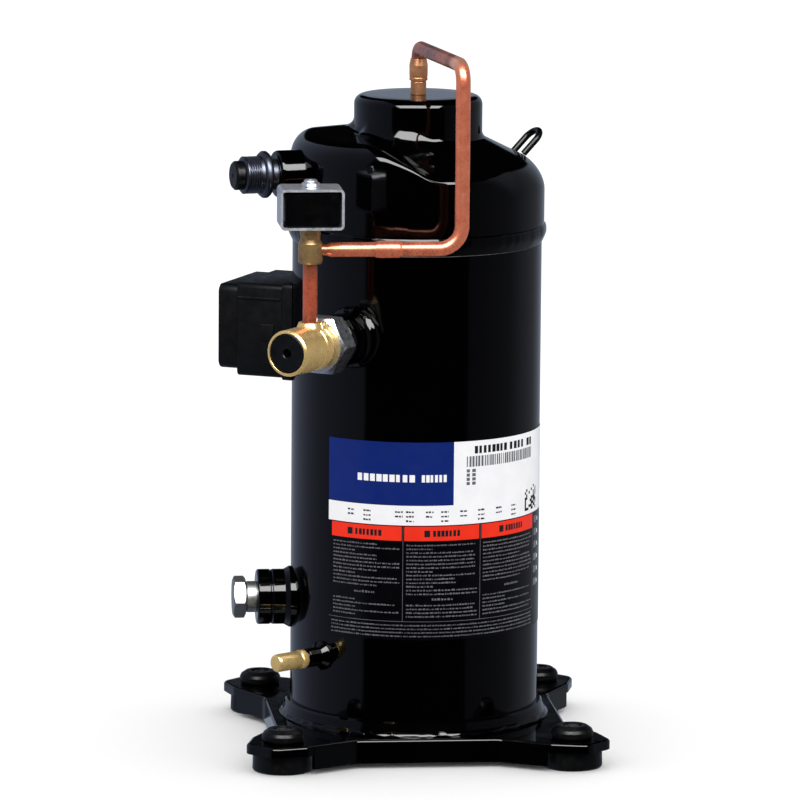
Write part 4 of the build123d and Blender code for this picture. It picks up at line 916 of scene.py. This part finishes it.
build_bracket()
spun(
    "coil_hex_nut", hexagonal(10.4, 4.8, 386.5, 389.4, pi / 6), valve_axes, "bright_zinc", "zinc_plate",
    stands_for=["coil_nut"], sharp=24,
)
spun(
    "coil_stud",
    softened([(385, 0), (385, 4.4), (390.4, 4.4), (390.9, 3.9), (391.5, 2.6), (391.6, 0)], 0.4),
    valve_axes, "bright_zinc", "zinc_plate",
)

# ---------------- rating label
LABEL_LOW, LABEL_HIGH = 82.4, 214.2
LABEL_START, LABEL_END, LABEL_STEPS = 221.0, 352.0, 130
LABEL_LEFT, LABEL_RIGHT = LABEL_START - CAMERA_ANGLE, LABEL_END - CAMERA_ANGLE
FILM_R, FILM_BACK_R = 82.8, SHELL_R + 0.06
INK_STEP, INK_DEPTH = 0.03, 0.036  # from one layer of ink to the next, and how deep each goes
ON_FILM, ON_FIELD = 1, 2  # layers: ink straight on the film, and over a field of colour
ARC_STEP = 2  # about this many degrees between a block's points
SPLIT = 17.8  # where the blue field ends
SIDE_MARGIN, FIELD_TOP = 0.1, LABEL_HIGH - 0.3
WHITE_TOP, WHITE_LOW, RED_TOP, RED_LOW = 172.4, 158.9, 158.2, 148.6
BAND_TOP, RULE_TOP = WHITE_TOP - 0.4, WHITE_LOW - 0.4
BLUE_LINE, WHITE_LINE, RED_LINE = (187.6, 192.4), (205.4, 210.4), (151.4, 155.4)  # low and high edge
BARS_START, BARS_END, BARS_LOW, BARS_HIGH = 24.0, 67, 196.8, 203.8
TICK_TALL, CELL_WIDE, CELL_TALL = 2.1, 1.3, 1.8
CODE_START, CODE_LOW, CODE_COLUMNS, CODE_ROWS, CODE_FILL = 61, 161.4, 10, 9, 0.5
RATINGS = (-32, -24, -9, -4, 5, 12, 21, 30, 40, 50)
COLUMNS = ((-41, -5.9, 113), (-4.7, 30.7, 109), (31.9, 69.6, 115))  # angles, height of the sub-heading
COLUMN_TOP, COLUMN_PITCH, COLUMN_ROWS = 145.2, 2.5, 20
SUB_HEADING_ROOM = 3.0
RULES, RULE_LOW, RULE_HALF = (-5.3, 31.3, 70.3), 94.9, 0.1
FOOT_TOP, FOOT_LINE, FOOT_ROWS = 91.8, 2.4, 4
STRIP_TOP, STRIP_PITCH, STRIP_ROWS = 151.0, 8.4, 6
LINE_RISES, WORD_GAPS = (0.6, 1.0), (0.18, 0.66)  # share of the line's height, and degrees
LETTER_WIDTHS = (0.55, 0.82)  # share of the pitch
BAR_WIDTHS, BAR_GAPS = (0.4, 1.1), (0.35, 0.8)
RATING_WORDS, BODY_WORDS, TITLE_WORDS = (0.8, 1.6), (0.3, 1.6), (0.6, 1.2)  # widths in degrees
LINE_SHORTFALLS = (0, 0.03, 0.06, 0.3, 0.6)  # share of the column that a line leaves empty
label_random = random.Random(5)
patches = {}


def bent_sheet(start, end, low, high, outer, inner, steps):
    """Points of a sheet bent round the shell's axis, four to each loop."""
    points = []
    for step in range(steps + 1):
        angle = start + (end - start) * step / steps
        for radius, height in ((outer, low), (outer, high), (inner, high), (inner, low)):
            points.append(outward(angle) * radius + Vector((0, 0, height)))
    return points


def build_patches(look, layer, blocks):
    points, faces = [], []
    outer = FILM_R + INK_STEP * layer
    for start, end, low, high in blocks:
        steps = max(1, round((end - start) / ARC_STEP))
        angles = CAMERA_ANGLE + start, CAMERA_ANGLE + end
        block = bent_sheet(*angles, low, high, outer, outer - INK_DEPTH, steps)
        first = len(points)
        faces += [tuple(first + corner for corner in face) for face in skin(block, steps + 1)]
        points += block
    piece(f"{look}_print_{layer}", points, faces, look, "label_film", sharp=30)


def patch(look, start, end, low, high, layer):
    """Printed block: degrees to the right of the camera's side, heights and the layer of ink."""
    patches.setdefault((look, layer), []).append((start, end, low, high))


def greeked_line(look, start, end, height, tall, layer, words):
    """A line of print as plain blocks of uneven size."""
    place = start
    while place < end:
        word = label_random.uniform(*words)
        rise = tall * label_random.uniform(*LINE_RISES)
        patch(look, place, min(place + word, end), height, height + rise, layer)
        place += word + label_random.uniform(*WORD_GAPS)


def heading(look, start, end, line, letters):
    """A line of large print as a row of plain upright blocks."""
    pitch = (end - start) / letters
    for letter in range(letters):
        place = start + pitch * letter
        patch(look, place, place + pitch * label_random.uniform(*LETTER_WIDTHS), *line, ON_FIELD)


def print_fields():
    left, right = LABEL_LEFT + SIDE_MARGIN, LABEL_RIGHT - SIDE_MARGIN
    patch("label_blue", left, SPLIT, WHITE_TOP, FIELD_TOP, ON_FILM)
    patch("label_white", SPLIT, right, BAND_TOP, FIELD_TOP, ON_FILM)
    patch("label_white", left, right, WHITE_LOW, BAND_TOP, ON_FILM)


def print_headings():
    for start, end, letters in ((-27, 0.5, 9), (3, 15, 6)):
        heading("label_white", start, end, BLUE_LINE, letters)
    for start, end, letters in ((28, 47, 8), (48.5, 60, 4), (62, 68, 2)):
        heading("label_ink", start, end, WHITE_LINE, letters)


def print_bars():
    """A row of upright bars, with two stacks of short blocks below it."""
    place = BARS_START
    while place < BARS_END:
        bar = label_random.uniform(*BAR_WIDTHS)
        patch("label_shade", place, place + bar, BARS_LOW, BARS_HIGH, ON_FIELD)
        place += bar + label_random.uniform(*BAR_GAPS)
    for height in (193.2, 190.4, 187.6, 184.8):
        for start, end in ((24.0, 25.6), (26.8, 28.6)):
            patch("label_shade", start, end, height, height + TICK_TALL, ON_FIELD)


def print_square_code():
    for row in range(CODE_ROWS):
        for column in range(CODE_COLUMNS):
            if label_random.random() < CODE_FILL:
                place, height = CODE_START + column * CELL_WIDE, CODE_LOW + row * CELL_TALL
                patch("label_ink", place, place + CELL_WIDE, height, height + CELL_TALL, ON_FIELD)


def print_ratings():
    for column, start in enumerate(RATINGS):
        for row in range(2 + column % 2):
            greeked_line("label_ink", start, start + 3.5, 167.2 - row * 3.0, 1.3, ON_FIELD, RATING_WORDS)


def print_column(start, end, sub_heading):
    middle = (start + end) / 2
    patch("label_red", start, end, RED_LOW, RED_TOP, ON_FILM)
    patch("label_ink", middle - 8.6, middle - 6.0, 151.2, 155.6, ON_FIELD)
    heading("label_ink", middle - 4.6, middle + 8.6, RED_LINE, 7)
    for row in range(COLUMN_ROWS):
        height = COLUMN_TOP - row * COLUMN_PITCH
        if abs(height - sub_heading) < SUB_HEADING_ROOM:
            continue
        stop = end - 1 - label_random.choice(LINE_SHORTFALLS) * (end - start)
        greeked_line("label_grey", start + 1, stop, height, 1.1, ON_FILM, BODY_WORDS)
    greeked_line("label_grey", middle - 5, middle + 5, sub_heading, 1.5, ON_FILM, TITLE_WORDS)


def print_foot():
    """Rules between the columns and under them, and the lines at the foot."""
    for place in RULES:
        patch("label_grey", place - RULE_HALF, place + RULE_HALF, RULE_LOW, RULE_TOP, ON_FILM)
    patch("label_grey", LABEL_LEFT + 0.6, RULES[-1], RULE_LOW - 0.2, RULE_LOW + 0.1, ON_FILM)
    for row in range(FOOT_ROWS):
        height = FOOT_TOP - row * FOOT_LINE
        greeked_line("label_grey", -41, 69, height, 1.0, ON_FILM, BODY_WORDS)


def print_strip():
    """Small signs down the right edge, as plain squares."""
    for row in range(STRIP_ROWS):
        height = STRIP_TOP - row * STRIP_PITCH
        patch("label_shade", 72.0, 76.0 + row % 2, height, height + 4.6, ON_FILM)
        patch("label_white", 77.2, 78.4, height + 0.8, height + 3.4, ON_FILM)


def build_label():
    sheet = bent_sheet(LABEL_START, LABEL_END, LABEL_LOW, LABEL_HIGH, FILM_R, FILM_BACK_R, LABEL_STEPS)
    piece(
        "label_sheet", sheet, skin(sheet, LABEL_STEPS + 1), "label_film", "label_film",
        stands_for=["rating_label"], sharp=30,
    )
    print_fields()
    print_headings()
    print_bars()
    print_square_code()
    print_ratings()
    for column in COLUMNS:
        print_column(*column)
    print_foot()
    print_strip()
    for (look, layer), blocks in patches.items():
        build_patches(look, layer, blocks)


build_label()

# ---------------- coil
COIL_Z = 373.2
COIL_LOOPS = [
    (17.2, 10.6, 1.2, -14.2), (17.6, 11.0, 1.4, -13.7), (17.6, 11.0, 1.4, 13.7), (17.2, 10.6, 1.2, 14.2),
]
RIB_LOOPS = [(0.35, 10.0, 0.2, -14.5), (0.6, 10.2, 0.3, -14.1), (0.6, 10.2, 0.3, -12.0)]
RIB_SHIFT = 10.6


def coil_block(name, loops, shift, **facts):
    """Skin through rounded rectangles (half, high, corner, y) round the coil's middle."""
    points = []
    for half, high, corner, y in loops:
        for u, v in rounded_loop(half, high, corner):
            points.append(Vector((VALVE_X + u + shift, VALVE_Y + y, COIL_Z + v)))
    piece(name, points, skin(points, len(loops)), "black_plastic", "black_plastic", **facts)


coil_block("coil_moulding", COIL_LOOPS, 0, stands_for=["solenoid_coil"])
coil_block("coil_rib", RIB_LOOPS, RIB_SHIFT)
dress_nodes()

# ---------------- stage, lights and camera
scene = bpy.context.scene
scene.view_settings.view_transform = "Standard"
scene.view_settings.look = "None"

FLOOR_HALF = 30.0
floor_corners = [(x * FLOOR_HALF, y * FLOOR_HALF, 0) for x, y in ((-1, -1), (1, -1), (1, 1), (-1, 1))]
floor_mesh = bpy.data.meshes.new("studio_floor")
floor_mesh.from_pydata(floor_corners, [], [(0, 1, 2, 3)])
floor = bpy.data.objects.new("studio_floor", floor_mesh)
scene.collection.objects.link(floor)
floor.visible_glossy = False
floor_look = Look("studio_floor", specular=0.0)
floor_look.colour(floor_look.ramp(floor_look.noise(0.8, 2), (0.3, 0.94), (0.8, 0.97)))
floor_look.rough(floor_look.noise(3.0, 2), 0.86, 0.94)
floor_mesh.materials.append(floor_look.material)


DARK, BACKDROP = (0.003, 0.003, 0.003), (0.30, 0.35, 0.44)
LEFT, LEFT_FAR, LEFT_RIM = (0.19, 0.20, 0.26), (0.23, 0.26, 0.36), (0.27, 0.31, 0.42)
RIGHT, RIGHT_FAR, RIGHT_RIM = (0.075, 0.080, 0.095), (0.13, 0.135, 0.155), (0.20, 0.21, 0.24)
SOFT_LIGHT = 1.2
WALL_EDGE = 10.0  # how sharp the walls' upper edge is
# azimuth about +Z from +X, the tone that gloss sees there, and the sine of the wall top's elevation
WALLS = [
    (-180, LEFT_FAR, 0.86),
    (-144, LEFT, 0.80),
    (-143, DARK, 0.80),
    (-47.5, DARK, 0.62),
    (-46.5, RIGHT, 0.62),
    (0, RIGHT_FAR, 0.67),
    (17, RIGHT_RIM, 0.70),
    (42, RIGHT_RIM, 0.54),
    (66, BACKDROP, 0.22),
    (80, BACKDROP, 0.18),
    (93, BACKDROP, 0.18),
    (104, BACKDROP, 0.33),
    (121, LEFT_RIM, 0.80),
    (140, LEFT_RIM, 0.86),
    (170, LEFT_FAR, 0.88),
    (180, LEFT_FAR, 0.86),
]


def build_world():
    """White to the camera, even soft light on matt surfaces, and a dim studio with pale walls in gloss."""
    world = bpy.data.worlds.new("studio")
    world.use_nodes = True
    scene.world = world
    graph = Graph(world.node_tree)
    rays = graph.add("LightPath", {}).outputs
    place = graph.add("TexCoord", {}).outputs["Generated"]
    split = graph.add("SeparateXYZ", {"Vector": place}).outputs
    azimuth = graph.math("ARCTAN2", split["Y"], split["X"])
    share = graph.math("MULTIPLY_ADD", azimuth, 1 / TURN, 0.5)
    tone = graph.ramp(share, *[((angle + 180) / 360, tone) for angle, tone, top in WALLS])
    top = graph.ramp(share, *[((angle + 180) / 360, (top + 1) / 2) for angle, tone, top in WALLS])
    above = graph.math("SUBTRACT", graph.math("MULTIPLY_ADD", split["Z"], 0.5, 0.5), top)
    lit = graph.ramp(graph.math("MULTIPLY_ADD", above, WALL_EDGE, 0.5), (0.45, 1.0), (0.6, 0.0))
    walls = graph.blend(lit, DARK, tone)
    soft = graph.blend(rays["Is Diffuse Ray"], walls, (SOFT_LIGHT, SOFT_LIGHT, SOFT_LIGHT))
    seen = graph.blend(rays["Is Camera Ray"], soft, (1.0, 1.0, 1.0))
    graph.feed(graph.nodes["Background"].inputs["Color"], seen)


build_world()


AIM = Vector((0, 0, 0.3))  # in metres, what the light points at


def toward(azimuth, elevation, distance):
    """Place at that distance; azimuth 0 is the camera's side and grows to the right."""
    flat = outward(CAMERA_ANGLE + azimuth) * cos(radians(elevation))
    return (flat + Vector((0, 0, sin(radians(elevation))))) * distance + AIM


def softbox(name, azimuth, elevation, distance, size, radiance):
    """Area light that shows only in gloss; the world lights matt surfaces."""
    light = bpy.data.lights.new(name, "AREA")
    light.shape = "RECTANGLE"
    light.size, light.size_y = size
    light.energy = radiance * pi * size[0] * size[1]
    obj = bpy.data.objects.new(name, light)
    obj.location = toward(azimuth, elevation, distance)
    obj.rotation_euler = (obj.location - AIM).to_track_quat("Z", "Y").to_euler()
    obj.visible_camera = False
    obj.visible_diffuse = False
    scene.collection.objects.link(obj)


softbox("front_bank", 2, 44, 2.3, (3.1, 1.3), 18)

VIEW_AZIMUTH, VIEW_ELEVATION, VIEW_ROLL = -5.9125, 9.2619, 0.4824
VIEW_DISTANCE, VIEW_LENS = 4.5, 304.886
VIEW_TARGET = Vector((0, 0, 0.230))
VIEW_SHIFT = -0.01976, -0.0025
camera_data = bpy.data.cameras.new("camera")
camera_data.sensor_width = 36
camera_data.lens = VIEW_LENS
camera_data.shift_x, camera_data.shift_y = VIEW_SHIFT
camera_data.clip_start, camera_data.clip_end = 0.1, 100
camera = bpy.data.objects.new("camera", camera_data)
azimuth, elevation = radians(VIEW_AZIMUTH), radians(VIEW_ELEVATION)
back = Vector((sin(azimuth) * cos(elevation), -cos(azimuth) * cos(elevation), sin(elevation)))
camera.location = VIEW_TARGET + back * VIEW_DISTANCE
roll = Matrix.Rotation(radians(VIEW_ROLL), 4, "Z")
camera.rotation_euler = ((-back).to_track_quat("-Z", "Y").to_matrix().to_4x4() @ roll).to_euler()
scene.collection.objects.link(camera)
scene.camera = camera
